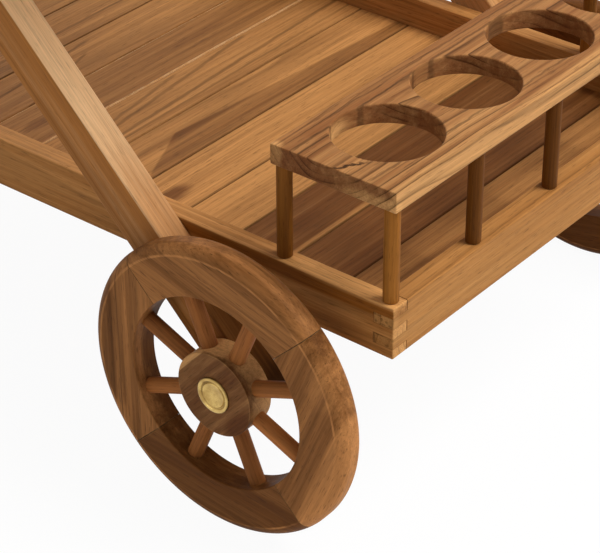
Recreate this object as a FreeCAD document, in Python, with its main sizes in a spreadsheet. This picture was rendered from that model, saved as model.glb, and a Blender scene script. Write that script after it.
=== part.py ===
import FreeCAD, Part
import os
import Sketcher
from FreeCAD import Placement, Rotation, Vector

# A wooden bar cart: two slatted trays held by crossed legs, two spoked wheels on an axle at one end,
# and a bottle rack above the lower tray. Millimetres, +Z up, the floor at Z = 0.
# +X points to the wheel end, -Y is the near side, the origin is below the middle of the whole cart.

DIMENSIONS = (
    # trays
    ("tray_length", 849, "outside length of each tray"),
    ("tray_width", 455, "outside width of each tray"),
    ("rail_height", 47, "height of all tray rails"),
    ("side_rail_thickness", 18, "thickness of the long rails"),
    ("end_rail_thickness", 19, "thickness of the short rails"),
    ("rail_edge_round", 1.2, "rounding of the outer rail edges"),
    ("rail_inner_round", 1, "rounding of the inner top edge of a rail"),
    ("finger_count", 5, "fingers in the height of a corner joint"),
    ("finger_clearance", 0.05, "gap on each side of a finger"),
    ("lower_tray_height", 195, "floor to the underside of the lower tray"),
    ("upper_tray_height", 785, "floor to the underside of the upper tray"),
    ("housing_depth", 6, "depth of the housing for the upper foot end rail"),
    # slats
    ("slat_count", 14, "slats in each tray"),
    ("slat_thickness", 12, "thickness of a slat"),
    ("slat_underside", 5, "rail underside to slat underside"),
    ("slat_joint_gap", 0.8, "gap between neighbouring slats"),
    ("slat_groove_depth", 6, "depth of the groove around the tray"),
    ("slat_clearance", 0.2, "gap between a slat and its groove"),
    ("slat_edge_chamfer", 0.8, "chamfer along the top of a slat"),
    ("end_slat_extra", 3.4, "how much more of an end slat shows"),
    # bottle rack
    ("rack_board_thickness", 18, "thickness of the rack board"),
    ("rack_clear_height", 85, "rail top to the underside of the rack board"),
    ("rack_edge_round", 1.2, "rounding of the board's edges"),
    ("bottle_hole_diameter", 90, "diameter of a bottle hole"),
    ("bottle_hole_web", 15, "wood between two bottle holes"),
    ("rack_end_margin", 20, "least wood between a bottle hole and an end of the board"),
    ("rack_outer_margin", 16, "wood between the bottle holes and the board's outer edge"),
    ("rack_inner_margin", 15, "wood between the bottle holes and the board's inner edge"),
    ("hole_edge_round", 1.5, "rounding of the rim of a hole"),
    ("dowel_diameter", 13, "diameter of a rack dowel"),
    ("outer_dowel_count", 5, "dowels along the end rail"),
    ("inner_dowel_inset", 7, "board's inner edge to the inner dowels"),
    ("dowel_tenon_diameter", 8, "diameter of a dowel's tenons"),
    ("dowel_tenon_length", 10, "length of a dowel's tenons"),
    ("seat_clearance", 0.05, "radial gap of a glued or pressed round joint"),
    ("socket_end_gap", 0.5, "gap at the bottom of a blind hole"),
    # legs
    ("leg_width", 40, "width of a leg as seen from the side"),
    ("leg_thickness", 28, "thickness of a leg across the cart"),
    ("leg_edge_round", 2.2, "rounding of a leg's edges"),
    ("leg_end_reach", 25, "how far a wheel leg passes the axle"),
    ("axle_setback", 135.5, "wheel end of the tray to the axle"),
    ("foot_setback", 2.5, "foot end of the tray to the foot's centre on the floor"),
    ("lap_clearance", 0.1, "gap on each side of the halved crossing"),
    # fixings of the trays and the crossing
    ("bolt_slat_gap", 3.5, "slat top to the edge of a tray bolt's head"),
    ("bolt_end_rail_gap", 2.5, "end rail to the edge of a tray bolt's head"),
    ("tray_bolt_diameter", 6, "diameter of a tray bolt"),
    ("tray_bolt_clearance", 0.1, "radial gap of a bolt in its hole"),
    ("tray_bolt_head_diameter", 13, "diameter of a tray bolt's head"),
    ("tray_bolt_head_height", 2.5, "height of a tray bolt's head"),
    ("insert_diameter", 10, "diameter of an insert nut"),
    ("insert_length", 14, "length of an insert nut"),
    ("cross_bolt_diameter", 8, "diameter of the bolt at the crossing"),
    ("cross_bolt_head_diameter", 20, "diameter of its domed head"),
    ("cross_bolt_head_height", 4, "height of its domed head"),
    ("cross_nut_size", 15, "distance between opposite corners of its nut"),
    ("cross_nut_height", 6.5, "height of its nut"),
    # handle
    ("handle_reach", 110, "how far the upper side rails pass the tray"),
    ("handle_end_round", 20, "rounding of the rail ends at the handle"),
    ("handle_bar_diameter", 26, "diameter of the grip"),
    ("handle_bar_setback", 26, "rail end to the middle of the grip"),
    ("handle_tenon_diameter", 16, "diameter of the grip's tenons"),
    ("handle_tenon_length", 9, "length of the grip's tenons"),
    # wheels
    ("wheel_radius", 132.5, "radius at the middle of the tread"),
    ("wheel_thickness", 26.5, "thickness of the rim"),
    ("tread_edge_reach", 9, "how far the rounding of the tread's edges reaches across the tread"),
    ("tread_edge_bluntness", 1.25, "radius of that rounding as a multiple of its reach"),
    ("rim_inner_radius", 87.5, "inner radius of the rim"),
    ("rim_edge_round", 1.2, "rounding of the rim's inner edges"),
    ("felloe_count", 4, "curved pieces in a rim"),
    ("felloe_joint_gap", 0.2, "gap between two felloes at the inner radius"),
    ("spokes_per_felloe", 2, "spokes that end in one felloe"),
    ("spoke_diameter", 14, "diameter of a spoke"),
    ("spoke_rim_depth", 14, "how deep a spoke sits in the rim"),
    ("spoke_root_gap", 5.2, "where a spoke ends outside the circle on which neighbours would meet"),
    ("hub_radius", 38.2, "radius of the hub"),
    ("hub_length", 26.8, "length of the hub"),
    ("hub_edge_round", 1, "rounding of the hub's edges"),
    ("hub_recess_radius", 14, "radius of the recess for the axle nut"),
    ("hub_recess_depth", 12, "depth of that recess"),
    # axle
    ("axle_diameter", 12, "diameter of the axle"),
    ("axle_running_clearance", 0.05, "radial gap between axle and bush"),
    ("bush_wall", 3, "wall of the bush"),
    ("washer_diameter", 28, "diameter of a thrust washer"),
    ("washer_thickness", 1.7, "thickness of a thrust washer"),
    ("wheel_side_clearance", 0.3, "side play of a wheel"),
    ("axle_nut_size", 21, "distance between opposite corners of the axle nut"),
    ("axle_nut_height", 8, "height of the axle nut"),
    ("axle_end", 1, "how far the axle passes its nut"),
    # brass cap
    ("cap_lap", 2.3, "how far the cap covers the hub around the nut's recess"),
    ("cap_plate", 0.8, "thickness of the cap's plate"),
    ("cap_rim_width", 3.2, "width of the raised ring"),
    ("cap_dish_depth", 1, "depth of the dish inside the ring"),
    ("cap_edge_round", 0.7, "rounding of the cap's edge"),
    ("cap_skirt_depth", 3, "how deep the cap's skirt sits in the hub"),
    ("cap_skirt_wall", 1.4, "wall of the skirt"),
    # working value
    ("cut_overrun", 1, "how far a cut runs past the face it opens"),
)

NEAR, FAR = -1, 1
SIDE_NAMES = {NEAR: "near", FAR: "far"}
TO_X = Rotation(Vector(0, 1, 0), 90)
TO_Y = Rotation(Vector(1, 0, 0), -90)
TO_MINUS_Y = Rotation(Vector(1, 0, 0), 90)
TO_MINUS_Z = Rotation(Vector(1, 0, 0), 180)

# Places worked out from the sizes
WHEEL_END = "((dims.tray_length + dims.handle_reach) / 2)"
FOOT_END = f"({WHEEL_END} - dims.tray_length)"
HALF_WIDTH = "(dims.tray_width / 2)"
RAIL_LINE = "((dims.tray_width - dims.side_rail_thickness) / 2)"
SLAT_PITCH = ("((dims.tray_length - 2 * dims.end_rail_thickness - 2 * dims.end_slat_extra)"
              " / dims.slat_count)")
SLAT_REACH = "(dims.slat_groove_depth - dims.slat_clearance)"
RACK_WIDTH = "(dims.rack_outer_margin + dims.bottle_hole_diameter + dims.rack_inner_margin)"
BOTTLE_PITCH = "(dims.bottle_hole_diameter + dims.bottle_hole_web)"
BOTTLE_COUNT = (f"(floor((dims.tray_width - 2 * dims.rack_end_margin - dims.bottle_hole_diameter)"
                f" / {BOTTLE_PITCH}) + 1)")
RACK_UNDERSIDE = "(dims.lower_tray_height + dims.rail_height + dims.rack_clear_height)"
AXLE_X = f"({WHEEL_END} - dims.axle_setback)"
AXLE_Z = "dims.wheel_radius"
BOLT_HEIGHT = ("(dims.slat_underside + dims.slat_thickness + dims.bolt_slat_gap"
               " + dims.tray_bolt_head_diameter / 2)")
LEG_TOP_INSET = "(dims.end_rail_thickness + dims.bolt_end_rail_gap + dims.tray_bolt_head_diameter / 2)"
LEG_TOP_Z = f"(dims.upper_tray_height + {BOLT_HEIGHT})"
WHEEL_LEG_TOP_X = f"({FOOT_END} + {LEG_TOP_INSET})"
FOOT_LEG_TOP_X = f"({WHEEL_END} - {LEG_TOP_INSET})"
FOOT_X = f"({FOOT_END} + dims.foot_setback)"
WHEEL_LEAN = f"atan2({LEG_TOP_Z} - {AXLE_Z}; {WHEEL_LEG_TOP_X} - {AXLE_X})"
FOOT_LEAN = f"atan2({LEG_TOP_Z}; {FOOT_LEG_TOP_X} - {FOOT_X})"
LAP_TURN = f"({WHEEL_LEAN} - {FOOT_LEAN})"
WHEEL_LEG_LENGTH = f"(({LEG_TOP_Z} - {AXLE_Z}) / sin({WHEEL_LEAN}))"
FOOT_LEG_LENGTH = f"({LEG_TOP_Z} / sin({FOOT_LEAN}))"
WHEEL_LEG_LAP = (f"((({FOOT_X} - {AXLE_X}) * sin({FOOT_LEAN}) + {AXLE_Z} * cos({FOOT_LEAN}))"
                 f" / sin(-{LAP_TURN}))")
FOOT_LEG_LAP = (f"((({FOOT_X} - {AXLE_X}) * sin({WHEEL_LEAN}) + {AXLE_Z} * cos({WHEEL_LEAN}))"
                f" / sin(-{LAP_TURN}))")
CROSSING_X = f"({FOOT_X} + {FOOT_LEG_LAP} * cos({FOOT_LEAN}))"
CROSSING_Z = f"({FOOT_LEG_LAP} * sin({FOOT_LEAN}))"
LOWER_BOLT_Z = f"(dims.lower_tray_height + {BOLT_HEIGHT})"
WHEEL_LEG_LOW_BOLT = f"(({LOWER_BOLT_Z} - {AXLE_Z}) / sin({WHEEL_LEAN}))"
FOOT_LEG_LOW_BOLT = f"({LOWER_BOLT_Z} / sin({FOOT_LEAN}))"
WHEEL_BOLT_X = f"({AXLE_X} + {WHEEL_LEG_LOW_BOLT} * cos({WHEEL_LEAN}))"
FOOT_BOLT_X = f"({FOOT_X} + {FOOT_LEG_LOW_BOLT} * cos({FOOT_LEAN}))"
RIM_FACE_RADIUS = "(dims.wheel_radius - dims.tread_edge_reach)"
TREAD_EDGE_RADIUS = "(dims.tread_edge_bluntness * dims.tread_edge_reach)"
TREAD_EDGE_RISE = (f"(({TREAD_EDGE_RADIUS} - sqrt({TREAD_EDGE_RADIUS} ^ 2 - dims.tread_edge_reach ^ 2 / 2))"
                   " / sqrt(2))")
WHEEL_OFFSET = (f"({HALF_WIDTH} + dims.leg_thickness + dims.washer_thickness"
                " + dims.wheel_side_clearance)")
BUSH_BORE = "(dims.axle_diameter / 2 + dims.axle_running_clearance)"
BUSH_RADIUS = f"({BUSH_BORE} + dims.bush_wall)"
BUSH_LENGTH = "(dims.hub_length - dims.hub_recess_depth)"
NUT_OFFSET = f"({WHEEL_OFFSET} + {BUSH_LENGTH} + dims.wheel_side_clearance)"
AXLE_HALF = f"({NUT_OFFSET} + dims.axle_nut_height + dims.axle_end)"
SPOKE_COUNT = "(dims.felloe_count * dims.spokes_per_felloe)"
SPOKE_STEP = f"(360 / {SPOKE_COUNT})"
SPOKE_ROOT = f"(dims.spoke_diameter / 2 / sin({SPOKE_STEP} / 2) + dims.spoke_root_gap)"
CAP_RADIUS = "(dims.hub_recess_radius + dims.cap_lap)"

doc = FreeCAD.newDocument("bar_cart")
sheet = doc.addObject("Spreadsheet::Sheet", "dims")
pieces = {}


def fill_sheet():
    """Write each driving size into the sheet under its own name."""
    for row, (alias, size, note) in enumerate(DIMENSIONS, start=1):
        sheet.set(f"A{row}", note)
        sheet.set(f"B{row}", str(size))
        sheet.setAlias(f"B{row}", alias)
    doc.recompute()


def value(expression):
    """Return the number that an expression of the sheet's sizes has now."""
    result = sheet.evalExpression(expression.replace("dims.", ""))
    return float(getattr(result, "Value", result))


def bind(item, expressions):
    """Tie properties of an object to expressions."""
    for name, expression in expressions.items():
        item.setExpression(name, expression)


def move(item, x="0", y="0", z="0", turn=None):
    """Tie an object's place to expressions, after an optional fixed turn."""
    if turn is not None:
        item.Placement = Placement(Vector(), turn)
    bind(item, {"Placement.Base.x": x, "Placement.Base.y": y, "Placement.Base.z": z})


def lean(item, angle):
    """Tie an object's turn about the Y axis to an expression."""
    item.Placement.Rotation = Rotation(Vector(0, 1, 0), value(angle))
    item.setExpression("Placement.Rotation.Angle", angle)
    item.setExpression("Placement.Rotation.Axis.x", "0")
    item.setExpression("Placement.Rotation.Axis.y", "1")
    item.setExpression("Placement.Rotation.Axis.z", "0")


def new_body(label):
    """Start a piece and list it under its name."""
    body = doc.addObject("PartDesign::Body", label)
    body.Label = label
    pieces[label] = body
    return body


def part_of_group(name):
    """Start a body that only counts as a member of a group."""
    return doc.addObject("PartDesign::Body", name)


def group(label, members):
    """List several loose solids as one piece."""
    compound = doc.addObject("Part::Compound", label)
    compound.Label = label
    compound.Links = members
    pieces[label] = compound
    return compound


def block(body, size, corner, cut=False):
    """Add or cut a box given by its size and its lowest corner."""
    kind = "SubtractiveBox" if cut else "AdditiveBox"
    feature = body.newObject("PartDesign::" + kind, body.Name + "_block")
    bind(feature, dict(zip(("Length", "Width", "Height"), size)))
    move(feature, *corner)
    return feature


def rod(body, radius, length, base, turn=None, cut=False):
    """Add or cut a cylinder given by the middle of its first end."""
    kind = "SubtractiveCylinder" if cut else "AdditiveCylinder"
    feature = body.newObject("PartDesign::" + kind, body.Name + "_rod")
    bind(feature, {"Radius": radius, "Height": length})
    move(feature, *base, turn=turn)
    return feature


def dress_edges(body, kind, size, chosen):
    """Round or chamfer the edges of the body's last feature that a test picks."""
    doc.recompute()
    base = body.Tip
    names = [f"Edge{i}" for i, edge in enumerate(base.Shape.Edges, start=1) if chosen(edge)]
    feature = body.newObject("PartDesign::" + kind, body.Name + "_" + kind.lower())
    feature.Base = (base, names)
    feature.setExpression("Radius" if kind == "Fillet" else "Size", size)
    return feature


def all_at(edge, axis, *places):
    """Tell whether both ends of an edge lie at one of the places along an axis."""
    ends = [getattr(vertex.Point, axis) for vertex in edge.Vertexes]
    return any(all(abs(end - place) < 1e-4 for end in ends) for place in places)


def has_radius(edge, *sizes):
    """Tell whether an edge is an arc or circle of one of the radii."""
    radius = 0 if edge.Degenerated else getattr(edge.Curve, "Radius", 0)
    return any(abs(radius - size) < 1e-6 for size in sizes)


def origin_plane(body, role):
    """Return a body's own origin plane or axis."""
    return next(item for item in body.Origin.OriginFeatures if item.Role == role)


def pin_point(sketch, index, end, point):
    """Tie one point of a sketch to its two coordinates."""
    for kind, axis, coordinate in (("DistanceX", -2, point[0]), ("DistanceY", -1, point[1])):
        if coordinate == "0":
            sketch.addConstraint(Sketcher.Constraint("PointOnObject", index, end, axis))
            continue
        number = sketch.addConstraint(
            Sketcher.Constraint(kind, -1, 1, index, end, value(coordinate)))
        sketch.setExpression(f"Constraints[{number}]", coordinate)


def profile(body, points, arcs=None):
    """Draw a closed outline in the XZ plane; arcs maps a side's number to its radius and bulge point."""
    sketch = body.newObject("Sketcher::SketchObject", body.Name + "_profile")
    sketch.AttachmentSupport = [(origin_plane(body, "XZ_Plane"), "")]
    sketch.MapMode = "FlatFace"
    arcs = arcs or {}
    spots = [Vector(value(x), value(y), 0) for x, y in points]
    for index, start in enumerate(spots):
        end = spots[(index + 1) % len(spots)]
        if index in arcs:
            bulge = Vector(*(value(part) for part in arcs[index][1]), 0)
            sketch.addGeometry(Part.Arc(start, bulge, end))
        else:
            sketch.addGeometry(Part.LineSegment(start, end))
    for index in range(len(spots)):
        following = (index + 1) % len(spots)
        sketch.addConstraint(Sketcher.Constraint(
            "Coincident", index, end_point(sketch, index, spots[following]),
            following, start_point(sketch, following, spots[following])))
        pin_point(sketch, index, start_point(sketch, index, spots[index]), points[index])
    for index, (radius, _) in arcs.items():
        number = sketch.addConstraint(Sketcher.Constraint("Radius", index, value(radius)))
        sketch.setExpression(f"Constraints[{number}]", radius)
    return sketch


def start_point(sketch, index, spot):
    """Return the number of the end of a side that lies on a spot."""
    return 1 if (sketch.getPoint(index, 1) - spot).Length < 1e-6 else 2


def end_point(sketch, index, spot):
    """Return the number of the end of a side that lies on a spot."""
    return 2 if (sketch.getPoint(index, 2) - spot).Length < 1e-6 else 1


def turned(body, points, arcs=None, angle="360"):
    """Turn an outline of radius and height about the body's Z axis, to both sides of the XZ plane."""
    sketch = profile(body, points, arcs)
    feature = body.newObject("PartDesign::Revolution", body.Name + "_turned")
    feature.Profile = sketch
    feature.ReferenceAxis = (sketch, ["V_Axis"])
    feature.Midplane = True
    feature.setExpression("Angle", angle)
    return feature


# Trays


def rail_grooves(body, along, inner_face, start, length):
    """Cut the slat groove into the inner face of a rail that runs along X or Y."""
    height = "dims.slat_thickness + 2 * dims.slat_clearance"
    low = "dims.slat_underside - dims.slat_clearance"
    if along == "x":
        block(body, (length, "dims.slat_groove_depth", height), (start, inner_face, low), cut=True)
    else:
        block(body, ("dims.slat_groove_depth", length, height), (inner_face, start, low), cut=True)


def finger_slots(body, along, first, ends):
    """Cut every second finger at the ends of a rail, counted from the top, for the other rail's fingers."""
    finger = "dims.rail_height / dims.finger_count"
    height = f"{finger} + 2 * dims.finger_clearance"
    aside, across = "-dims.cut_overrun", "{} + 2 * dims.cut_overrun"
    for number in range(first, int(value("dims.finger_count")), 2):
        low = f"dims.rail_height - {number + 1} * {finger} - dims.finger_clearance"
        for start, length in ends:
            if along == "x":
                block(body, (length, across.format("dims.side_rail_thickness"), height),
                      (start, aside, low), cut=True)
            else:
                block(body, (across.format("dims.end_rail_thickness"), length, height),
                      (aside, start, low), cut=True)


def round_rail(body, along, length, outer, inner):
    """Round a rail's outer edges and ease the top of its inner face."""
    across = "y" if along == "x" else "x"
    top = value("dims.rail_height")

    def on_outside(edge):
        at_end = all_at(edge, along, 0, length) and all_at(edge, "z", 0, top)
        return all_at(edge, across, outer) or at_end

    dress_edges(body, "Fillet", "dims.rail_edge_round", on_outside)
    dress_edges(body, "Fillet", "dims.rail_inner_round",
                lambda edge: all_at(edge, across, inner) and all_at(edge, "z", top))


def bolt_holes(body, places):
    """Drill the holes for the tray bolts through a side rail."""
    for x in places:
        rod(body, "dims.tray_bolt_diameter / 2 + dims.tray_bolt_clearance",
            "dims.side_rail_thickness + 2 * dims.cut_overrun",
            (x, "-dims.cut_overrun", BOLT_HEIGHT), TO_Y, cut=True)


def tenon_hole(body, x, y, top, turn=TO_MINUS_Z):
    """Drill a blind hole for a dowel's tenon."""
    rod(body, "dims.dowel_tenon_diameter / 2 + dims.seat_clearance",
        "dims.dowel_tenon_length + dims.socket_end_gap", (x, y, top), turn, cut=True)


def side_rail(level, side, base_z, bolt_places, with_handle):
    """Make a long rail; the upper ones pass the foot end as handles."""
    label = f"{level}_side_rail_{SIDE_NAMES[side]}"
    body = new_body(label)
    extra = "dims.handle_reach" if with_handle else "0"
    length = f"(dims.tray_length + {extra})"
    outer, inner = ("0", "dims.side_rail_thickness")
    groove_y = "dims.side_rail_thickness - dims.slat_groove_depth"
    if side == FAR:
        outer, inner = inner, outer
        groove_y = "0"
    block(body, (length, "dims.side_rail_thickness", "dims.rail_height"), ("0", "0", "0"))
    if with_handle:
        dress_edges(body, "Fillet", "min(dims.handle_end_round; dims.rail_height / 2 - dims.rail_edge_round)",
                    lambda edge: all_at(edge, "x", 0) and not all_at(edge, "y", value(outer), value(inner)))
    round_rail(body, "x", value(length), value(outer), value(inner))
    groove_start = f"{extra} + dims.end_rail_thickness - dims.slat_groove_depth"
    groove_length = ("dims.tray_length - 2 * dims.end_rail_thickness"
                     " + 2 * dims.slat_groove_depth")
    rail_grooves(body, "x", groove_y, groove_start, groove_length)
    slot = "(dims.end_rail_thickness + dims.finger_clearance)"
    ends = [(f"{length} - {slot}", f"{slot} + dims.cut_overrun")]
    if not with_handle:
        ends.append(("-dims.cut_overrun", f"{slot} + dims.cut_overrun"))
    finger_slots(body, "x", 1, ends)
    bolt_holes(body, [f"{x} - ({FOOT_END} - {extra})" for x in bolt_places])
    if with_handle:
        rail_handle_sockets(body, side, extra)
    y = f"-{HALF_WIDTH}" if side == NEAR else f"{HALF_WIDTH} - dims.side_rail_thickness"
    move(body, f"{FOOT_END} - {extra}", y, base_z)
    return body


def rail_handle_sockets(body, side, extra):
    """Cut the housing of the foot end rail and the socket of the grip into an upper side rail."""
    housing_y = "dims.side_rail_thickness - dims.housing_depth" if side == NEAR else "-dims.cut_overrun"
    block(body, ("dims.end_rail_thickness + 2 * dims.finger_clearance",
                 "dims.housing_depth + dims.cut_overrun", "dims.rail_height + 2 * dims.cut_overrun"),
          (f"{extra} - dims.finger_clearance", housing_y, "-dims.cut_overrun"), cut=True)
    depth = "dims.handle_tenon_length + dims.socket_end_gap"
    socket_y = "dims.side_rail_thickness" if side == NEAR else "0"
    rod(body, "dims.handle_tenon_diameter / 2 + dims.seat_clearance", depth,
        ("dims.handle_bar_setback", socket_y, "dims.rail_height / 2"),
        TO_MINUS_Y if side == NEAR else TO_Y, cut=True)


def end_rail(level, end, base_z):
    """Make a short rail with fingers at both ends."""
    body = new_body(f"{level}_end_rail_{end}")
    at_wheels = end == "wheel"
    outer, inner = ("dims.end_rail_thickness", "0") if at_wheels else ("0", "dims.end_rail_thickness")
    groove_x = "0" if at_wheels else "dims.end_rail_thickness - dims.slat_groove_depth"
    block(body, ("dims.end_rail_thickness", "dims.tray_width", "dims.rail_height"), ("0", "0", "0"))
    round_rail(body, "y", value("dims.tray_width"), value(outer), value(inner))
    start = "dims.side_rail_thickness - dims.slat_groove_depth"
    rail_grooves(body, "y", groove_x, start, f"dims.tray_width - 2 * ({start})")
    slot = "(dims.side_rail_thickness + dims.finger_clearance)"
    finger_slots(body, "y", 0, [("-dims.cut_overrun", f"{slot} + dims.cut_overrun"),
                                (f"dims.tray_width - {slot}", f"{slot} + dims.cut_overrun")])
    x = f"{WHEEL_END} - dims.end_rail_thickness" if at_wheels else FOOT_END
    move(body, x, f"-{HALF_WIDTH}", base_z)
    return body


def housed_end_rail(base_z):
    """Make the upper rail at the foot end, which sits in housings of the side rails."""
    body = new_body("upper_end_rail_foot")
    gap = "(dims.side_rail_thickness - dims.housing_depth + dims.finger_clearance)"
    length = f"(dims.tray_width - 2 * {gap})"
    block(body, ("dims.end_rail_thickness", length, "dims.rail_height"), ("0", "0", "0"))
    top = value("dims.rail_height")
    dress_edges(body, "Fillet", "dims.rail_inner_round",
                lambda edge: all_at(edge, "z", 0, top)
                and all_at(edge, "x", 0, value("dims.end_rail_thickness")))
    start = "dims.housing_depth - dims.slat_groove_depth - dims.finger_clearance"
    rail_grooves(body, "y", "dims.end_rail_thickness - dims.slat_groove_depth",
                 start, f"{length} - 2 * ({start})")
    move(body, FOOT_END, f"{gap} - {HALF_WIDTH}", base_z)


def slat(body, number, base_z):
    """Shape one slat, counted from the wheel end; the end slats reach into the end rails' grooves."""
    count = int(value("dims.slat_count"))
    field = f"({WHEEL_END} - dims.end_rail_thickness)"
    joint = f"({field} - dims.end_slat_extra - {SLAT_PITCH} * {{}})"
    high = joint.format(number) + " - dims.slat_joint_gap / 2"
    low = joint.format(number + 1) + " + dims.slat_joint_gap / 2"
    if number == 0:
        high = f"({field} + {SLAT_REACH})"
    if number == count - 1:
        low = f"({FOOT_END} + dims.end_rail_thickness - {SLAT_REACH})"
    length = f"(dims.tray_width - 2 * dims.side_rail_thickness + 2 * {SLAT_REACH})"
    block(body, (f"({high}) - ({low})", length, "dims.slat_thickness"), ("0", "0", "0"))
    top = value("dims.slat_thickness")
    dress_edges(body, "Chamfer", "dims.slat_edge_chamfer",
                lambda edge: all_at(edge, "z", top) and not all_at(edge, "y", 0, value(length)))
    move(body, low, f"-{length} / 2", f"{base_z} + dims.slat_underside")
    return body


def make_trays():
    """Make both trays: rails first, then the slats."""
    lower, upper = "dims.lower_tray_height", "dims.upper_tray_height"
    for side in (NEAR, FAR):
        rail = side_rail("lower", side, lower, (WHEEL_BOLT_X, FOOT_BOLT_X), False)
        for inset in (f"({RACK_WIDTH} - dims.inner_dowel_inset)", "dims.end_rail_thickness / 2"):
            tenon_hole(rail, f"dims.tray_length - {inset}", "dims.side_rail_thickness / 2", "dims.rail_height")
        side_rail("upper", side, upper, (WHEEL_LEG_TOP_X, FOOT_LEG_TOP_X), True)
    rack_rail = end_rail("lower", "wheel", lower)
    for y in outer_dowel_places():
        tenon_hole(rack_rail, "dims.end_rail_thickness / 2", f"{y} + {HALF_WIDTH}", "dims.rail_height")
    end_rail("lower", "foot", lower)
    end_rail("upper", "wheel", upper)
    housed_end_rail(upper)
    count = int(value("dims.slat_count"))
    for number in range(count):
        slat(new_body(f"lower_slat_{number + 1:02d}"), number, lower)
    group("upper_slats", [slat(part_of_group(f"upper_slat_{number + 1:02d}"), number, upper)
                          for number in range(count)])


# Bottle rack and handle


def outer_dowel_places():
    """Return the Y places of the dowels on the end rail, evenly spaced from corner to corner."""
    count = int(value("dims.outer_dowel_count"))
    return [f"({RAIL_LINE} * (2 * {number} / (dims.outer_dowel_count - 1) - 1))" for number in range(count)]


def dowel_places():
    """Return the X and Y places of all the rack dowels."""
    outer_x = f"({WHEEL_END} - dims.end_rail_thickness / 2)"
    inner_x = f"({WHEEL_END} - {RACK_WIDTH} + dims.inner_dowel_inset)"
    places = [(outer_x, y) for y in outer_dowel_places()]
    return places + [(inner_x, f"(-{RAIL_LINE})"), (inner_x, RAIL_LINE)]


def tenoned_rod(body, diameter, length, tenon_diameter, tenon_length):
    """Turn a rod with a thinner tenon at each end; its shoulders are at 0 and at its length."""
    radius, tenon = f"{diameter} / 2", f"{tenon_diameter} / 2"
    turned(body, (("0", f"-{tenon_length}"), (tenon, f"-{tenon_length}"), (tenon, "0"), (radius, "0"),
                  (radius, length), (tenon, length), (tenon, f"{length} + {tenon_length}"),
                  ("0", f"{length} + {tenon_length}")))


def make_rack():
    """Make the rack board with its bottle holes, and the dowels that carry it."""
    board = new_body("rack_board")
    thickness = "dims.rack_board_thickness"
    block(board, (RACK_WIDTH, "dims.tray_width", thickness), ("0", "0", "0"))
    dress_edges(board, "Fillet", "dims.rack_edge_round", lambda edge: True)
    row_x = "dims.rack_inner_margin + dims.bottle_hole_diameter / 2"
    for number in range(int(value(BOTTLE_COUNT))):
        y = f"{HALF_WIDTH} + ({number} - ({BOTTLE_COUNT} - 1) / 2) * {BOTTLE_PITCH}"
        rod(board, "dims.bottle_hole_diameter / 2", f"{thickness} + 2 * dims.cut_overrun",
            (row_x, y, "-dims.cut_overrun"), cut=True)
    radius = value("dims.bottle_hole_diameter / 2")
    dress_edges(board, "Fillet", "dims.hole_edge_round",
                lambda edge: has_radius(edge, radius))
    board_x = f"({WHEEL_END} - {RACK_WIDTH})"
    for x, y in dowel_places():
        tenon_hole(board, f"{x} - {board_x}", f"{y} + {HALF_WIDTH}", "0", Rotation())
    move(board, board_x, f"-{HALF_WIDTH}", RACK_UNDERSIDE)
    for number, (x, y) in enumerate(dowel_places(), start=1):
        dowel = new_body(f"rack_dowel_{number}")
        tenoned_rod(dowel, "dims.dowel_diameter", "dims.rack_clear_height",
                    "dims.dowel_tenon_diameter", "dims.dowel_tenon_length")
        move(dowel, x, y, "dims.lower_tray_height + dims.rail_height")


def make_handle():
    """Make the round grip between the upper side rails."""
    bar = new_body("handle_bar")
    length = "(dims.tray_width - 2 * dims.side_rail_thickness)"
    tenoned_rod(bar, "dims.handle_bar_diameter", length,
                "dims.handle_tenon_diameter", "dims.handle_tenon_length")
    move(bar, f"{FOOT_END} - dims.handle_reach + dims.handle_bar_setback", f"-{length} / 2",
         "dims.upper_tray_height + dims.rail_height / 2", TO_Y)


# Legs


def leg_bar(body, start, length):
    """Shape a leg along its own X axis, with a square lower end and a round upper end."""
    half = "dims.leg_width / 2"
    block(body, (f"{length} - ({start})", "dims.leg_thickness", "dims.leg_width"), (start, "0", f"-{half}"))
    rod(body, half, "dims.leg_thickness", (length, "0", "0"), TO_Y)
    dress_edges(body, "Fillet", "dims.leg_edge_round",
                lambda edge: all_at(edge, "y", 0, value("dims.leg_thickness")))


def lap_cut(body, side, keeps_outside, along, turn):
    """Halve a leg where the other one crosses it at a turn."""
    length, height = "(3 * dims.leg_width)", "(dims.leg_width + 2 * dims.lap_clearance)"
    half = "dims.leg_thickness / 2"
    cuts_low_y = keeps_outside == (side == FAR)
    y = "-dims.cut_overrun" if cuts_low_y else half
    cut = block(body, (length, f"{half} + dims.cut_overrun", height),
                (f"{along} - {length} / 2 * cos({turn}) - {height} / 2 * sin({turn})", y,
                 f"{length} / 2 * sin({turn}) - {height} / 2 * cos({turn})"), cut=True)
    lean(cut, turn)


def leg_holes(body, side, bolt_places, lap_place):
    """Drill the insert nuts' holes from the inner face and the hole at the crossing."""
    inner = "dims.leg_thickness" if side == NEAR else "0"
    for x in bolt_places:
        rod(body, "dims.insert_diameter / 2 + dims.seat_clearance",
            "dims.insert_length + dims.socket_end_gap", (x, inner, "0"),
            TO_MINUS_Y if side == NEAR else TO_Y, cut=True)
    rod(body, "dims.cross_bolt_diameter / 2 + dims.tray_bolt_clearance",
        "dims.leg_thickness + 2 * dims.cut_overrun", (lap_place, "-dims.cut_overrun", "0"), TO_Y, cut=True)


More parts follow.
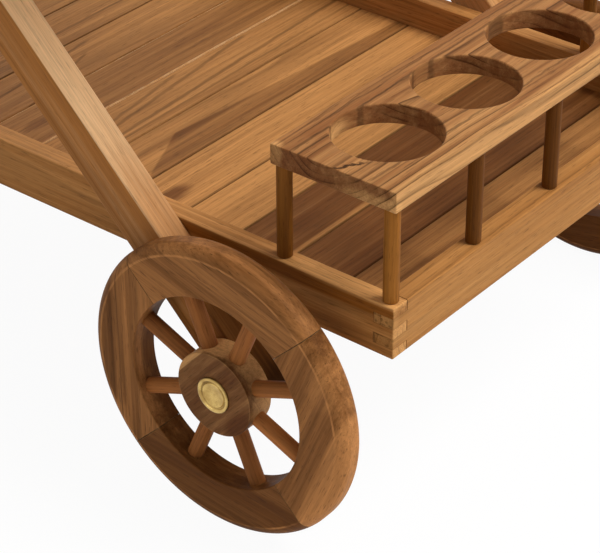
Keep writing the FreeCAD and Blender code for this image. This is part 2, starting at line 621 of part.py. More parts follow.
def wheel_leg(side):
    """Make a leg from the axle to the foot end of the upper tray."""
    body = new_body(f"wheel_leg_{SIDE_NAMES[side]}")
    leg_bar(body, "-dims.leg_end_reach", WHEEL_LEG_LENGTH)
    lap_cut(body, side, True, WHEEL_LEG_LAP, LAP_TURN)
    leg_holes(body, side, (WHEEL_LEG_LOW_BOLT, WHEEL_LEG_LENGTH), WHEEL_LEG_LAP)
    rod(body, "dims.axle_diameter / 2 + dims.seat_clearance", "dims.leg_thickness + 2 * dims.cut_overrun",
        ("0", "-dims.cut_overrun", "0"), TO_Y, cut=True)
    stand_leg(body, side, AXLE_X, AXLE_Z, WHEEL_LEAN)


def foot_leg(side):
    """Make a leg from the floor to the wheel end of the upper tray, cut level at the floor."""
    body = new_body(f"foot_leg_{SIDE_NAMES[side]}")
    leg_bar(body, "-2 * dims.leg_width", FOOT_LEG_LENGTH)
    reach = "(4 * dims.leg_width)"
    floor = block(body, (f"2 * {reach}", "dims.leg_thickness + 2 * dims.cut_overrun", reach),
                  (f"-{reach} * cos({FOOT_LEAN}) - {reach} * sin({FOOT_LEAN})", "-dims.cut_overrun",
                   f"{reach} * sin({FOOT_LEAN}) - {reach} * cos({FOOT_LEAN})"), cut=True)
    lean(floor, FOOT_LEAN)
    lap_cut(body, side, False, FOOT_LEG_LAP, f"(-{LAP_TURN})")
    leg_holes(body, side, (FOOT_LEG_LOW_BOLT, FOOT_LEG_LENGTH), FOOT_LEG_LAP)
    stand_leg(body, side, FOOT_X, "0", FOOT_LEAN)


def stand_leg(body, side, x, z, angle):
    """Put a leg against the outside of the side rails at its lean."""
    y = f"-{HALF_WIDTH} - dims.leg_thickness" if side == NEAR else HALF_WIDTH
    move(body, x, y, z)
    lean(body, f"(-{angle})")


def outward(side):
    """Return the turn that points a piece's Z axis away from the cart's middle."""
    return TO_MINUS_Y if side == NEAR else TO_Y


def inward(side):
    """Return the turn that points a piece's Z axis towards the cart's middle."""
    return outward(-side)


def signed(side, expression):
    """Return an expression of Y on one side of the cart."""
    return f"(-({expression}))" if side == NEAR else f"({expression})"


def make_tray_fixings():
    """Make the bolts from the rails into the legs, and the insert nuts that hold them."""
    upper = f"({LEG_TOP_Z})"
    places = [(side, x, z) for side in (NEAR, FAR)
              for x, z in ((WHEEL_BOLT_X, LOWER_BOLT_Z), (FOOT_BOLT_X, LOWER_BOLT_Z),
                           (WHEEL_LEG_TOP_X, upper), (FOOT_LEG_TOP_X, upper))]
    bolts, inserts = [], []
    shank, head = "dims.tray_bolt_diameter / 2", "dims.tray_bolt_head_diameter / 2"
    reach = "dims.side_rail_thickness + dims.insert_length"
    for number, (side, x, z) in enumerate(places, start=1):
        bolt = part_of_group(f"tray_bolt_{number}")
        turned(bolt, (("0", "-dims.tray_bolt_head_height"), (head, "-dims.tray_bolt_head_height"),
                      (head, "0"), (shank, "0"), (shank, reach), ("0", reach)))
        move(bolt, x, signed(side, f"{HALF_WIDTH} - dims.side_rail_thickness"), z, outward(side))
        bolts.append(bolt)
        insert = part_of_group(f"insert_nut_{number}")
        bore = f"{shank} + dims.seat_clearance"
        turned(insert, ((bore, "0"), ("dims.insert_diameter / 2", "0"),
                        ("dims.insert_diameter / 2", "dims.insert_length"), (bore, "dims.insert_length")))
        move(insert, x, signed(side, HALF_WIDTH), z, outward(side))
        inserts.append(insert)
    group("tray_bolts", bolts)
    group("insert_nuts", inserts)


def hex_nut(body, corners, height, bore):
    """Shape a hexagon nut on the body's Z axis."""
    prism = body.newObject("PartDesign::AdditivePrism", body.Name + "_prism")
    prism.Polygon = 6
    bind(prism, {"Circumradius": f"{corners} / 2", "Height": height})
    rod(body, bore, f"{height} + 2 * dims.cut_overrun", ("0", "0", "-dims.cut_overrun"), cut=True)


def make_crossing_bolts():
    """Make the domed bolts and the nuts that hold the crossed legs together."""
    bolts, nuts = [], []
    shank, head = "dims.cross_bolt_diameter / 2", "dims.cross_bolt_head_diameter / 2"
    reach = "(dims.leg_thickness + dims.cross_nut_height)"
    dome = "(dims.cross_bolt_head_height ^ 2 + ({0}) ^ 2) / (2 * dims.cross_bolt_head_height)".format(head)
    bulge = (f"{head} / 2", f"sqrt(({dome}) ^ 2 - ({head} / 2) ^ 2) - ({dome}) + dims.cross_bolt_head_height")
    for side in (NEAR, FAR):
        bolt = part_of_group(f"cross_bolt_{SIDE_NAMES[side]}")
        turned(bolt, ((shank, f"-{reach}"), (shank, "0"), (head, "0"), ("0", "dims.cross_bolt_head_height"),
                      ("0", f"-{reach}")), {2: (dome, bulge)})
        move(bolt, CROSSING_X, signed(side, f"{HALF_WIDTH} + dims.leg_thickness"), CROSSING_Z, outward(side))
        bolts.append(bolt)
        nut = part_of_group(f"cross_nut_{SIDE_NAMES[side]}")
        hex_nut(nut, "dims.cross_nut_size", "dims.cross_nut_height", f"{shank} + dims.seat_clearance")
        move(nut, CROSSING_X, signed(side, HALF_WIDTH), CROSSING_Z, inward(side))
        nuts.append(nut)
    group("crossing_bolts", bolts)
    group("crossing_nuts", nuts)


# Axle and wheels


def make_axle():
    """Make the axle with a thrust washer and a nut at each end."""
    axle = new_body("axle")
    rod(axle, "dims.axle_diameter / 2", f"2 * {AXLE_HALF}", ("0", "0", "0"))
    move(axle, AXLE_X, f"-{AXLE_HALF}", AXLE_Z, TO_Y)
    washers, nuts = [], []
    bore = "dims.axle_diameter / 2 + dims.seat_clearance"
    for side in (NEAR, FAR):
        washer = part_of_group(f"thrust_washer_{SIDE_NAMES[side]}")
        edge = "dims.washer_diameter / 2"
        turned(washer, ((bore, "0"), (edge, "0"), (edge, "dims.washer_thickness"),
                        (bore, "dims.washer_thickness")))
        move(washer, AXLE_X, signed(side, f"{HALF_WIDTH} + dims.leg_thickness"), AXLE_Z, outward(side))
        washers.append(washer)
        nut = part_of_group(f"axle_nut_{SIDE_NAMES[side]}")
        hex_nut(nut, "dims.axle_nut_size", "dims.axle_nut_height", bore)
        move(nut, AXLE_X, signed(side, NUT_OFFSET), AXLE_Z, outward(side))
        nuts.append(nut)
    group("thrust_washers", washers)
    group("axle_nuts", nuts)


def on_wheel(item, side, angle=0):
    """Put a piece that is drawn about the Z axis on one wheel, turned about the axle."""
    move(item, AXLE_X, signed(side, WHEEL_OFFSET), AXLE_Z,
         outward(side).multiply(Rotation(Vector(0, 0, 1), angle)))


def spoke_hole(body, angle, start, length):
    """Drill a radial hole for a spoke at a fixed angle about the Z axis."""
    turn = Rotation(Vector(0, 0, 1), value(angle)).multiply(TO_X)
    return rod(body, "dims.spoke_diameter / 2 + dims.seat_clearance", length,
               (f"({start}) * cos({angle})", f"({start}) * sin({angle})", "dims.wheel_thickness / 2"),
               turn, cut=True)


def felloe(side, number):
    """Make one curved piece of a rim, with a round-edged tread and the holes of its spokes."""
    body = new_body(f"felloe_{SIDE_NAMES[side]}_{number + 1}")
    inner, face, depth = "dims.rim_inner_radius", RIM_FACE_RADIUS, "dims.wheel_thickness"
    tread, reach = "dims.wheel_radius", "dims.tread_edge_reach"
    sweep = f"(360 / dims.felloe_count - dims.felloe_joint_gap / {inner} * 180 / pi)"
    middle, rise = f"{tread} - {reach} / 2 + {TREAD_EDGE_RISE}", f"{reach} / 2 - {TREAD_EDGE_RISE}"
    turned(body, ((inner, "0"), (face, "0"), (tread, reach), (tread, f"{depth} - {reach}"),
                  (face, depth), (inner, depth)),
           {1: (TREAD_EDGE_RADIUS, (middle, rise)),
            3: (TREAD_EDGE_RADIUS, (middle, f"{depth} - ({rise})"))}, sweep)
    radius = value(inner)
    dress_edges(body, "Fillet", "dims.rim_edge_round",
                lambda edge: has_radius(edge, radius))
    for place in range(int(value("dims.spokes_per_felloe"))):
        angle = f"{SPOKE_STEP} * ({place} - (dims.spokes_per_felloe - 1) / 2)"
        spoke_hole(body, angle, f"{inner} - dims.cut_overrun",
                   "dims.spoke_rim_depth + dims.cut_overrun + dims.socket_end_gap")
    on_wheel(body, side, value("360 / dims.felloe_count") * number)


def hub(side):
    """Make a hub with its bore, the nut's recess and a ring of spoke holes."""
    body = new_body(f"hub_{SIDE_NAMES[side]}")
    bore, recess = f"{BUSH_RADIUS} + dims.seat_clearance", "dims.hub_recess_radius"
    turned(body, ((bore, "0"), ("dims.hub_radius", "0"), ("dims.hub_radius", "dims.hub_length"),
                  (recess, "dims.hub_length"), (recess, BUSH_LENGTH), (bore, BUSH_LENGTH)))
    radius = value("dims.hub_radius")
    dress_edges(body, "Fillet", "dims.hub_edge_round",
                lambda edge: has_radius(edge, radius))
    first = spoke_hole(body, f"{SPOKE_STEP} / 2",
                       f"{SPOKE_ROOT} - dims.socket_end_gap",
                       f"dims.hub_radius - {SPOKE_ROOT} + dims.socket_end_gap + dims.cut_overrun")
    doc.recompute()
    ring = body.newObject("PartDesign::PolarPattern", body.Name + "_spoke_holes")
    ring.Originals = [first]
    ring.Axis = (origin_plane(body, "Z_Axis"), [""])
    ring.Angle = 360
    ring.setExpression("Occurrences", SPOKE_COUNT)
    body.Tip = ring
    on_wheel(body, side)


def spokes(side):
    """Make the round spokes of a wheel."""
    length = f"dims.rim_inner_radius + dims.spoke_rim_depth - {SPOKE_ROOT}"
    members = []
    for number in range(int(value(SPOKE_COUNT))):
        angle = f"({SPOKE_STEP} * ({number} + 1 / 2))"
        spoke = part_of_group(f"spoke_{SIDE_NAMES[side]}_{number + 1}")
        rod(spoke, "dims.spoke_diameter / 2", length,
            (f"{SPOKE_ROOT} * cos({angle})", f"{SPOKE_ROOT} * sin({angle})", "dims.wheel_thickness / 2"),
            Rotation(Vector(0, 0, 1), value(angle)).multiply(TO_X))
        on_wheel(spoke, side)
        members.append(spoke)
    group(f"spokes_{SIDE_NAMES[side]}", members)


def bush(side):
    """Make the bush that turns on the axle."""
    body = new_body(f"bush_{SIDE_NAMES[side]}")
    turned(body, ((BUSH_BORE, "0"), (BUSH_RADIUS, "0"), (BUSH_RADIUS, BUSH_LENGTH), (BUSH_BORE, BUSH_LENGTH)))
    on_wheel(body, side)


def hub_cap(side):
    """Make the dished cap with its raised ring and the skirt that holds it in the hub."""
    body = new_body(f"hub_cap_{SIDE_NAMES[side]}")
    face, dish = "dims.hub_length", "dims.hub_length + dims.cap_plate"
    ring = f"({CAP_RADIUS} - dims.cap_rim_width)"
    top = f"{dish} + dims.cap_dish_depth"
    skirt = "(dims.hub_recess_radius - dims.seat_clearance)"
    inside = f"({skirt} - dims.cap_skirt_wall)"
    low = f"{face} - dims.cap_skirt_depth"
    turned(body, (("0", face), (inside, face), (inside, low), (skirt, low), (skirt, face),
                  (CAP_RADIUS, face), (CAP_RADIUS, top), (ring, top),
                  (f"{ring} - dims.cap_dish_depth", dish), ("0", dish)))
    crown, inner = value(CAP_RADIUS), value(ring)
    high = value(top)
    dress_edges(body, "Fillet", "dims.cap_edge_round",
                lambda edge: all_at(edge, "z", high) and has_radius(edge, crown, inner))
    on_wheel(body, side)


def make_wheels():
    """Make both wheels."""
    for side in (NEAR, FAR):
        for number in range(int(value("dims.felloe_count"))):
            felloe(side, number)
        hub(side)
        spokes(side)
        bush(side)
        hub_cap(side)


def check_pieces():
    """Stop unless every object was worked out and every piece is a sound shape."""
    doc.recompute()
    broken = [item.Name for item in doc.Objects if {"Invalid", "Error"} & set(item.State)]
    broken += [label for label, item in pieces.items()
               if item.Shape.isNull() or not item.Shape.isValid() or not item.Shape.Solids]
    if broken:
        raise RuntimeError("not built: " + ", ".join(broken))


def write_pieces():
    """Write each piece to its own file and print its solids and volume."""
    os.makedirs("parts", exist_ok=True)
    for label, item in pieces.items():
        item.Shape.exportStep(f"parts/{label}.step")
        print(label, len(item.Shape.Solids), round(item.Shape.Volume, 1))


fill_sheet()
make_trays()
make_rack()
make_handle()
for leg_side in (NEAR, FAR):
    wheel_leg(leg_side)
    foot_leg(leg_side)
make_tray_fixings()
make_crossing_bolts()
make_axle()
make_wheels()
check_pieces()
write_pieces()
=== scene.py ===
"""Looks of a wooden bar cart: two slatted trays on crossed legs, a bottle rack and two spoked wheels.

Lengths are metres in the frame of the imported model: +X points to the wheel end, -Y is the near side and
+Z is up. Each sub-assembly is a class that builds its own meshes and dresses them in its finishes.
"""
import logging
import math
import random
import zlib
from collections.abc import Mapping, Sequence
from dataclasses import dataclass, replace
from enum import Enum

import bmesh
import bpy
from mathutils import Matrix, Vector


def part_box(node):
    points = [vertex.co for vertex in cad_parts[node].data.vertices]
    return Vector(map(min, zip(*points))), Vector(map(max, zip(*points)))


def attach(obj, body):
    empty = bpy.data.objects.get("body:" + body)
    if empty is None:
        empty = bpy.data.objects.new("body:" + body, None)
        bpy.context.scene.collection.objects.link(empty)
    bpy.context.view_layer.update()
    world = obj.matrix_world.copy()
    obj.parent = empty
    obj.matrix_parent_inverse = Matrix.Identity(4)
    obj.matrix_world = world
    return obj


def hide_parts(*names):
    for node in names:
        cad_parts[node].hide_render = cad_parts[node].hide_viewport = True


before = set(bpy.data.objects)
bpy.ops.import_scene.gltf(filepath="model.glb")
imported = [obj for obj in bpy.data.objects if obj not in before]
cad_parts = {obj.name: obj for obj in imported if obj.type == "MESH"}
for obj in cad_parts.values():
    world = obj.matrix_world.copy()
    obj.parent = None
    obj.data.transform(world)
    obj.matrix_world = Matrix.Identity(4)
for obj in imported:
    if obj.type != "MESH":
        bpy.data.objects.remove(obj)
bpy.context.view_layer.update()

log = logging.getLogger("bar_cart")

Rgb = tuple[int, int, int]
Triple = tuple[float, float, float]
Outline = Sequence[tuple[float, float]]
Socket = bpy.types.NodeSocket
Feed = Socket | float | Sequence[float]

ALONG_CART: Triple = (1.0, 0.0, 0.0)
ACROSS_CART: Triple = (0.0, 1.0, 0.0)
UP: Triple = (0.0, 0.0, 1.0)
WHITE = (1.0, 1.0, 1.0, 1.0)
SHARP_ANGLE = math.radians(35)
MERGE_DISTANCE = 1e-6
# How far along the tree a piece may have been cut, to either side
TREE_REACH = 5.0
# Where the near ends of the rack board and of the end rails lie along their grain
NEAR_END = -0.2275


class Side(Enum):
    """The two long sides of the cart; the value is the sign of Y."""

    NEAR = -1
    FAR = 1

    @property
    def word(self) -> str:
        """Return the side's name in node names."""
        return self.name.lower()

    @property
    def out(self) -> Vector:
        """Return the direction away from the cart's middle."""
        return Vector((0, self.value, 0))


class Level(Enum):
    """The two trays."""

    LOWER = "lower"
    UPPER = "upper"


class Body(Enum):
    """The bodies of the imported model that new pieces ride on."""

    FRAME = "frame"
    WHEEL_NEAR = "wheel_near"
    WHEEL_FAR = "wheel_far"


class Slot(Enum):
    """Names of the record's material slots, passed along with new pieces but not used."""

    DOWEL = "dowel_wood"
    SPOKE = "spoke_wood"
    BRASS = "brass"
    STEEL = "steel"


class Channel(Enum):
    """What a mark in the wood changes: its tone, a dark stain, or the course of the rings. Tone and stain also
    carry painted light and shade.
    """

    TONE = "Tone"
    STAIN = "Stain"
    LIFT = "Lift"


def linear(colour: Rgb) -> tuple[float, float, float, float]:
    """Turn a screen colour into the linear colour that a socket takes.

    Args:
        colour: Red, green and blue from 0 to 255.

    Returns:
        The linear colour with full opacity.
    """
    shares = [part / 255 for part in colour]
    parts = [s / 12.92 if s <= 0.04045 else ((s + 0.055) / 1.055) ** 2.4 for s in shares]
    return (*parts, 1.0)


def seeded(name: str) -> random.Random:
    """Return a random source that depends on a piece's name alone."""
    return random.Random(zlib.crc32(name.encode()))


def middle(node: str) -> Vector:
    """Return the middle of a CAD node's box."""
    low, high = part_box(node)
    return (low + high) / 2


def linked(name: str, data: bpy.types.ID) -> bpy.types.Object:
    """Put a new object into the scene.

    Args:
        name: The object's name.
        data: Its mesh, lamp or camera.

    Returns:
        The new object.
    """
    made = bpy.data.objects.new(name, data)
    bpy.context.scene.collection.objects.link(made)
    return made


def loose_boxes(node: str) -> list[tuple[Vector, Vector]]:
    """Find the loose solids of a CAD node.

    Args:
        node: The node's name.

    Returns:
        The lowest and highest corner of each solid.
    """
    shape = bmesh.new()
    shape.from_mesh(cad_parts[node].data)
    bmesh.ops.remove_doubles(shape, verts=shape.verts, dist=MERGE_DISTANCE)
    left = set(shape.verts)
    boxes = []
    while left:
        wave = [left.pop()]
        found = []
        while wave:
            spot = wave.pop()
            found.append(spot.co.copy())
            beside = {edge.other_vert(spot) for edge in spot.link_edges} & left
            left -= beside
            wave.extend(beside)
        boxes.append((Vector(map(min, zip(*found))), Vector(map(max, zip(*found)))))
    shape.free()
    return sorted(boxes, key=lambda box: tuple(box[0]))


class Shape:
    """A mesh that is modelled with bmesh operators and then becomes a piece of the cart."""

    def __init__(self) -> None:
        """Start with nothing."""
        self.mesh = bmesh.new()

    def turned(self, outline: Outline, steps: int = 48) -> list[bmesh.types.BMVert]:
        """Turn an outline about the Z axis.

        Args:
            outline: Points of radius and height.
            steps: How many sides the turned piece has.

        Returns:
            The new points.
        """
        before = set(self.mesh.verts)
        spots = [self.mesh.verts.new((radius, 0.0, height)) for radius, height in outline]
        edges = [self.mesh.edges.new(pair) for pair in zip(spots, spots[1:])]
        bmesh.ops.spin(self.mesh, geom=spots + edges, axis=(0, 0, 1), cent=(0, 0, 0), angle=math.tau,
                       steps=steps, use_merge=True)
        fresh = [spot for spot in self.mesh.verts if spot not in before]
        bmesh.ops.remove_doubles(self.mesh, verts=fresh, dist=MERGE_DISTANCE)
        fresh = [spot for spot in self.mesh.verts if spot not in before]
        faces = {face for spot in fresh for face in spot.link_faces}
        bmesh.ops.recalc_face_normals(self.mesh, faces=list(faces))
        return fresh

    @staticmethod
    def six_sided(spots: Sequence[bmesh.types.BMVert], flat: float) -> None:
        """Press the points within a round recess onto a hexagon.

        Args:
            spots: Points about the Z axis.
            flat: The distance from the axis to a side; points up to a little further out are pressed.
        """
        sector, margin = math.pi / 3, 1.2
        for spot in spots:
            radius = math.hypot(spot.co.x, spot.co.y)
            if MERGE_DISTANCE < radius < flat * margin:
                turn = math.atan2(spot.co.y, spot.co.x) % sector - sector / 2
                reach = flat / math.cos(turn) / radius
                spot.co.x *= reach
                spot.co.y *= reach

    def put(self, spots: Sequence[bmesh.types.BMVert], base: Vector, axis: Vector) -> None:
        """Stand points that were made about the Z axis on a base, along an axis.

        Args:
            spots: The points.
            base: Where their lower end goes.
            axis: Where their Z axis points to.
        """
        place = Matrix.Translation(base) @ axis.to_track_quat("Z", "Y").to_matrix().to_4x4()
        bmesh.ops.transform(self.mesh, matrix=place, verts=list(spots))

    def finish(self, name: str, material: bpy.types.Material, body: Body, slot: Slot, *nodes: str) -> None:
        """Make the piece, let it ride on its body and stand for CAD nodes.

        Args:
            name: The piece's name.
            material: Its material.
            body: The body that it rides on.
            slot: Not used.
            nodes: The CAD nodes that it stands for.
        """
        for face in self.mesh.faces:
            face.smooth = True
        mesh = bpy.data.meshes.new(name)
        self.mesh.to_mesh(mesh)
        self.mesh.free()
        mesh.set_sharp_from_angle(angle=SHARP_ANGLE)
        mesh.materials.append(material)
        piece = linked(name, mesh)
        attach(piece, body.value)
        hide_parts(*nodes)
        log.info("built %s with %d faces", name, len(mesh.polygons))


class Graph:
    """A node tree being wired, with short ways to add the nodes that the finishes need."""

    def __init__(self, tree: bpy.types.NodeTree) -> None:
        """Start from an empty tree."""
        self.tree = tree
        tree.nodes.clear()

    def feed(self, target: Socket, value: Feed) -> None:
        """Link a socket to another one, or set its constant.

        Args:
            target: The socket that is fed.
            value: A socket to link to it, or its constant.
        """
        if isinstance(value, bpy.types.NodeSocket):
            self.tree.links.new(value, target)
        else:
            target.default_value = value

    def node(self, kind: str, feeds: Mapping[str | int, Feed] | None = None, **settings: object) -> bpy.types.Node:
        """Add a shader node.

        Args:
            kind: The node's type without its prefix.
            feeds: What goes into its inputs, by name or number.
            settings: The node's own properties.

        Returns:
            The new node.
        """
        node = self.tree.nodes.new("ShaderNode" + kind)
        for name, setting in settings.items():
            setattr(node, name, setting)
        for name, value in (feeds or {}).items():
            self.feed(node.inputs[name], value)
        return node

    def math(self, operation: str, first: Feed, second: Feed = 0.0, third: Feed = 0.0) -> Socket:
        """Return the result of a sum on values."""
        return self.node("Math", {0: first, 1: second, 2: third}, operation=operation).outputs[0]

    def vector(self, operation: str, first: Feed, second: Feed) -> Socket:
        """Return the result of a sum on vectors."""
        return self.node("VectorMath", {0: first, 1: second}, operation=operation).outputs[0]

    def dot(self, first: Feed, second: Feed) -> Socket:
        """Return the dot product of two vectors."""
        return self.node("VectorMath", {0: first, 1: second}, operation="DOT_PRODUCT").outputs[1]

    def length(self, vector: Feed) -> Socket:
        """Return a vector's length."""
        return self.node("VectorMath", {0: vector}, operation="LENGTH").outputs[1]

    def axes(self, place: Feed) -> bpy.types.NodeOutputs:
        """Return a vector's three parts."""
        return self.node("SeparateXYZ", {0: place}).outputs

    def noise(self, place: Feed, stretch: Triple, detail: float = 2.0, roughness: float = 0.5,
              coloured: bool = False) -> Socket:
        """Add noise whose grain is given per metre along each axis.

        Args:
            place: The place on the piece.
            stretch: How many features lie on a metre along each axis.
            detail: How many finer layers are added.
            roughness: How strong the finer layers are.
            coloured: Whether to take the noise's colour instead of its value.

        Returns:
            The noise.
        """
        scaled = self.vector("MULTIPLY", place, stretch)
        feeds = {"Vector": scaled, "Scale": 1.0, "Detail": detail, "Roughness": roughness}
        return self.node("TexNoise", feeds).outputs[1 if coloured else 0]

    def centred(self, value: Feed) -> Socket:
        """Return a value of 0 to 1 moved to lie about 0."""
        return self.math("SUBTRACT", value, 0.5)

    def smooth(self, value: Feed, low: Feed, high: Feed, to_low: Feed = 0.0, to_high: Feed = 1.0) -> Socket:
        """Return a value eased from one range into another."""
        feeds = {0: value, 1: low, 2: high, 3: to_low, 4: to_high}
        return self.node("MapRange", feeds, interpolation_type="SMOOTHSTEP").outputs[0]

    def mix(self, share: Feed, first: Feed, second: Feed, blend: str = "MIX") -> Socket:
        """Return a mix of two colours.

        Args:
            share: How much of the second colour shows.
            first: One colour.
            second: The other colour.
            blend: How the second colour acts on the first.

        Returns:
            The mixed colour.
        """
        node = self.node("Mix", data_type="RGBA", blend_type=blend)
        for number, value in ((0, share), (6, first), (7, second)):
            self.feed(node.inputs[number], value)
        return node.outputs[2]

    def ramp(self, value: Feed, stops: Mapping[float, float]) -> Socket:
        """Return a value led through grey stops.

        Args:
            value: What is led through the stops.
            stops: The grey at each place from 0 to 1.

        Returns:
            The grey.
        """
        node = self.node("ValToRGB", {0: value})
        elements = node.color_ramp.elements
        while len(elements) < len(stops):
            elements.new(1.0)
        for element, (place, grey) in zip(elements, sorted(stops.items())):
            element.position = place
            element.color = (grey, grey, grey, 1.0)
        return node.outputs[0]

    def surface(self, shader: bpy.types.Node, output: str = "OutputMaterial") -> None:
        """Lead a shader into the tree's output."""
        self.feed(self.node(output).inputs["Surface"], shader.outputs[0])


def new_material(name: str) -> tuple[bpy.types.Material, Graph]:
    """Start a material.

    Args:
        name: The material's name.

    Returns:
        The material and its empty graph.
    """
    material = bpy.data.materials.new(name)
    material.use_nodes = True
    return material, Graph(material.node_tree)


class SharedEffect:
    """A shader node group that several finishes place with their own values."""

    title: str = ""
    inputs: Mapping[str, str] = {}
    outputs: Mapping[str, str] = {}

    @classmethod
    def tree(cls) -> bpy.types.NodeTree:
        """Return the group, built on its first use.

        Returns:
            The group's node tree.
        """
        made = bpy.data.node_groups.get(cls.title)
        if made is not None:
            return made
        tree = bpy.data.node_groups.new(cls.title, "ShaderNodeTree")
        for in_out, sockets in (("INPUT", cls.inputs), ("OUTPUT", cls.outputs)):
            for name, kind in sockets.items():
                tree.interface.new_socket(name, in_out=in_out, socket_type="NodeSocket" + kind)
        graph = Graph(tree)
        entry = tree.nodes.new("NodeGroupInput")
        leaving = tree.nodes.new("NodeGroupOutput")
        for name, value in cls.wire(graph, entry.outputs).items():
            graph.feed(leaving.inputs[name], value)
        return tree

    @classmethod
    def wire(cls, graph: Graph, given: bpy.types.NodeOutputs) -> dict[str, Socket]:
        """Wire the group and return what it puts out, by name.

        Args:
            graph: The group's graph.
            given: The group's inputs.

        Returns:
            What the group puts out, by name.
        """
        raise NotImplementedError

    @classmethod
    def place(cls, graph: Graph, **values: Feed) -> bpy.types.NodeOutputs:
        """Place the group in a material.

        Args:
            graph: The material's graph.
            values: The group's inputs, with _ for each space in a name.

        Returns:
            The group's outputs.
        """
        node = graph.tree.nodes.new("ShaderNodeGroup")
        node.node_tree = cls.tree()
        for name, value in values.items():
            graph.feed(node.inputs[name.replace("_", " ")], value)
        return node.outputs


class WoodFigure(SharedEffect):
    """Sawn wood: growth rings about a pith line along X, broad tones, streaks, fibres and pores."""

    title = "wood_figure"
    inputs = {
        "Vector": "Vector", "Pale": "Color", "Deep": "Color", "Line": "Color", "Tone": "Float", "Stain": "Float",
        "Lift": "Float", "End": "Float", "End Depth": "Float", "Ring Spacing": "Float", "Ring Contrast": "Float",
        "Wobble": "Float", "Streak": "Float", "Breadth": "Float", "Pores": "Float",
    }
    outputs = {"Color": "Color", "Roughness": "Float", "Height": "Float"}
    bend_grain = (3.2, 11, 11)
    fade_grain = (4.5, 42, 42)
    broad_grain = (1.7, 19, 19)
    streak_grain = (3.5, 150, 150)
    fibre_grain = (13, 560, 560)
    pore_grain = (75, 1100, 1100)
    tone_ends = (-0.15, 1.15)
    pore_dark = (0.012, 0.006, 0.003, 1.0)
    pace_grain = 55.0
    late_wood = {0.0: 0.02, 0.5: 0.06, 0.8: 0.4, 0.93: 1.0, 1.0: 0.02}

    @classmethod
    def wire(cls, graph: Graph, given: bpy.types.NodeOutputs) -> dict[str, Socket]:
        """Wire the rings first, then the tones, then the fine grain on top.

        Args:
            graph: The group's graph.
            given: The group's inputs.

        Returns:
            What the group puts out, by name.
        """
        place = given["Vector"]
        late = cls.rings(graph, given)
        tone = graph.noise(place, cls.broad_grain, 2)
        streak = graph.noise(place, cls.streak_grain, 4, 0.62)
        fibre = graph.noise(place, cls.fibre_grain, 3, 0.65)
        pore = graph.smooth(graph.noise(place, cls.pore_grain, 1), 0.6, 0.74)
        shade = graph.math("MULTIPLY_ADD", graph.centred(tone), given["Breadth"], given["Tone"])
        shade = graph.math("MULTIPLY_ADD", graph.centred(streak), given["Streak"], shade)
        shade = graph.math("MULTIPLY_ADD", given["End"], given["End Depth"], shade)
        colour = graph.mix(graph.smooth(shade, *cls.tone_ends), given["Pale"], given["Deep"])
        colour = graph.mix(late, colour, given["Line"])
        dark = graph.mix(0.6, given["Line"], cls.pore_dark)
        speck = graph.math("MULTIPLY", pore, given["Pores"])
        colour = graph.mix(speck, colour, dark)
        colour = graph.mix(given["Stain"], colour, dark)
        level = graph.math("MULTIPLY_ADD", fibre, 0.9, 0.55)
        level = graph.math("MULTIPLY", level, graph.math("MULTIPLY_ADD", given["End"], -0.1, 1.0))
        grey = graph.node("CombineColor", {0: level, 1: level, 2: level}).outputs[0]
        colour = graph.mix(1.0, colour, grey, "MULTIPLY")
        rough = graph.math("MULTIPLY_ADD", fibre, 0.16, 0.46)
        rough = graph.math("MULTIPLY_ADD", late, -0.06, rough)
        height = graph.math("MULTIPLY_ADD", fibre, 0.6, graph.math("MULTIPLY", speck, -1.0))
        height = graph.math("MULTIPLY_ADD", late, 0.25, height)
        return {"Color": colour, "Roughness": rough, "Height": height}

    @classmethod
    def rings(cls, graph: Graph, given: bpy.types.NodeOutputs) -> Socket:
        """Return how much of the dark late wood of a ring shows at a place.

        Args:
            graph: The group's graph.
            given: The group's inputs.

        Returns:
            A mask of the late wood.
        """
        place = given["Vector"]
        bend = graph.vector("SUBTRACT", graph.noise(place, cls.bend_grain, 2, coloured=True), (0.5, 0.5, 0.5))
        strength = graph.node("CombineXYZ", {0: 0.0, 1: given["Wobble"], 2: given["Wobble"]}).outputs[0]
        bent = graph.axes(graph.vector("ADD", place, graph.vector("MULTIPLY", bend, strength)))
        across = graph.math("MULTIPLY", bent[1], bent[1])
        radius = graph.math("SQRT", graph.math("MULTIPLY_ADD", bent[2], bent[2], across))
        radius = graph.math("ADD", radius, given["Lift"])
        years = {"W": radius, "Scale": cls.pace_grain, "Detail": 1.0}
        pace = graph.node("TexNoise", years, noise_dimensions="1D").outputs[0]
        turns = graph.math("DIVIDE", radius, given["Ring Spacing"])
        turns = graph.math("MULTIPLY_ADD", pace, 2.2, turns)
        late = graph.ramp(graph.math("FRACT", turns), cls.late_wood)
        fade = graph.smooth(graph.noise(place, cls.fade_grain, 2), 0.34, 0.66, 0.2, 1.0)
        return graph.math("MULTIPLY", graph.math("MULTIPLY", late, fade), given["Ring Contrast"])


class EndGrain(SharedEffect):
    """A mask of the faces that cut across the grain."""

    title = "end_grain"
    inputs = {"Along": "Vector"}
    outputs = {"Mask": "Float"}

    @classmethod
    def wire(cls, graph: Graph, given: bpy.types.NodeOutputs) -> dict[str, Socket]:
        """Wire how squarely the face, in the piece's own axes, meets the grain.

        Args:
            graph: The group's graph.
            given: The group's inputs.

        Returns:
            What the group puts out, by name.
        """
        normal = graph.node("NewGeometry").outputs["Normal"]
        own = graph.node("VectorTransform", {0: normal}, vector_type="NORMAL", convert_from="WORLD",
                         convert_to="OBJECT").outputs[0]
        square = graph.math("ABSOLUTE", graph.dot(own, given["Along"]))
        return {"Mask": graph.smooth(square, 0.35, 0.95)}


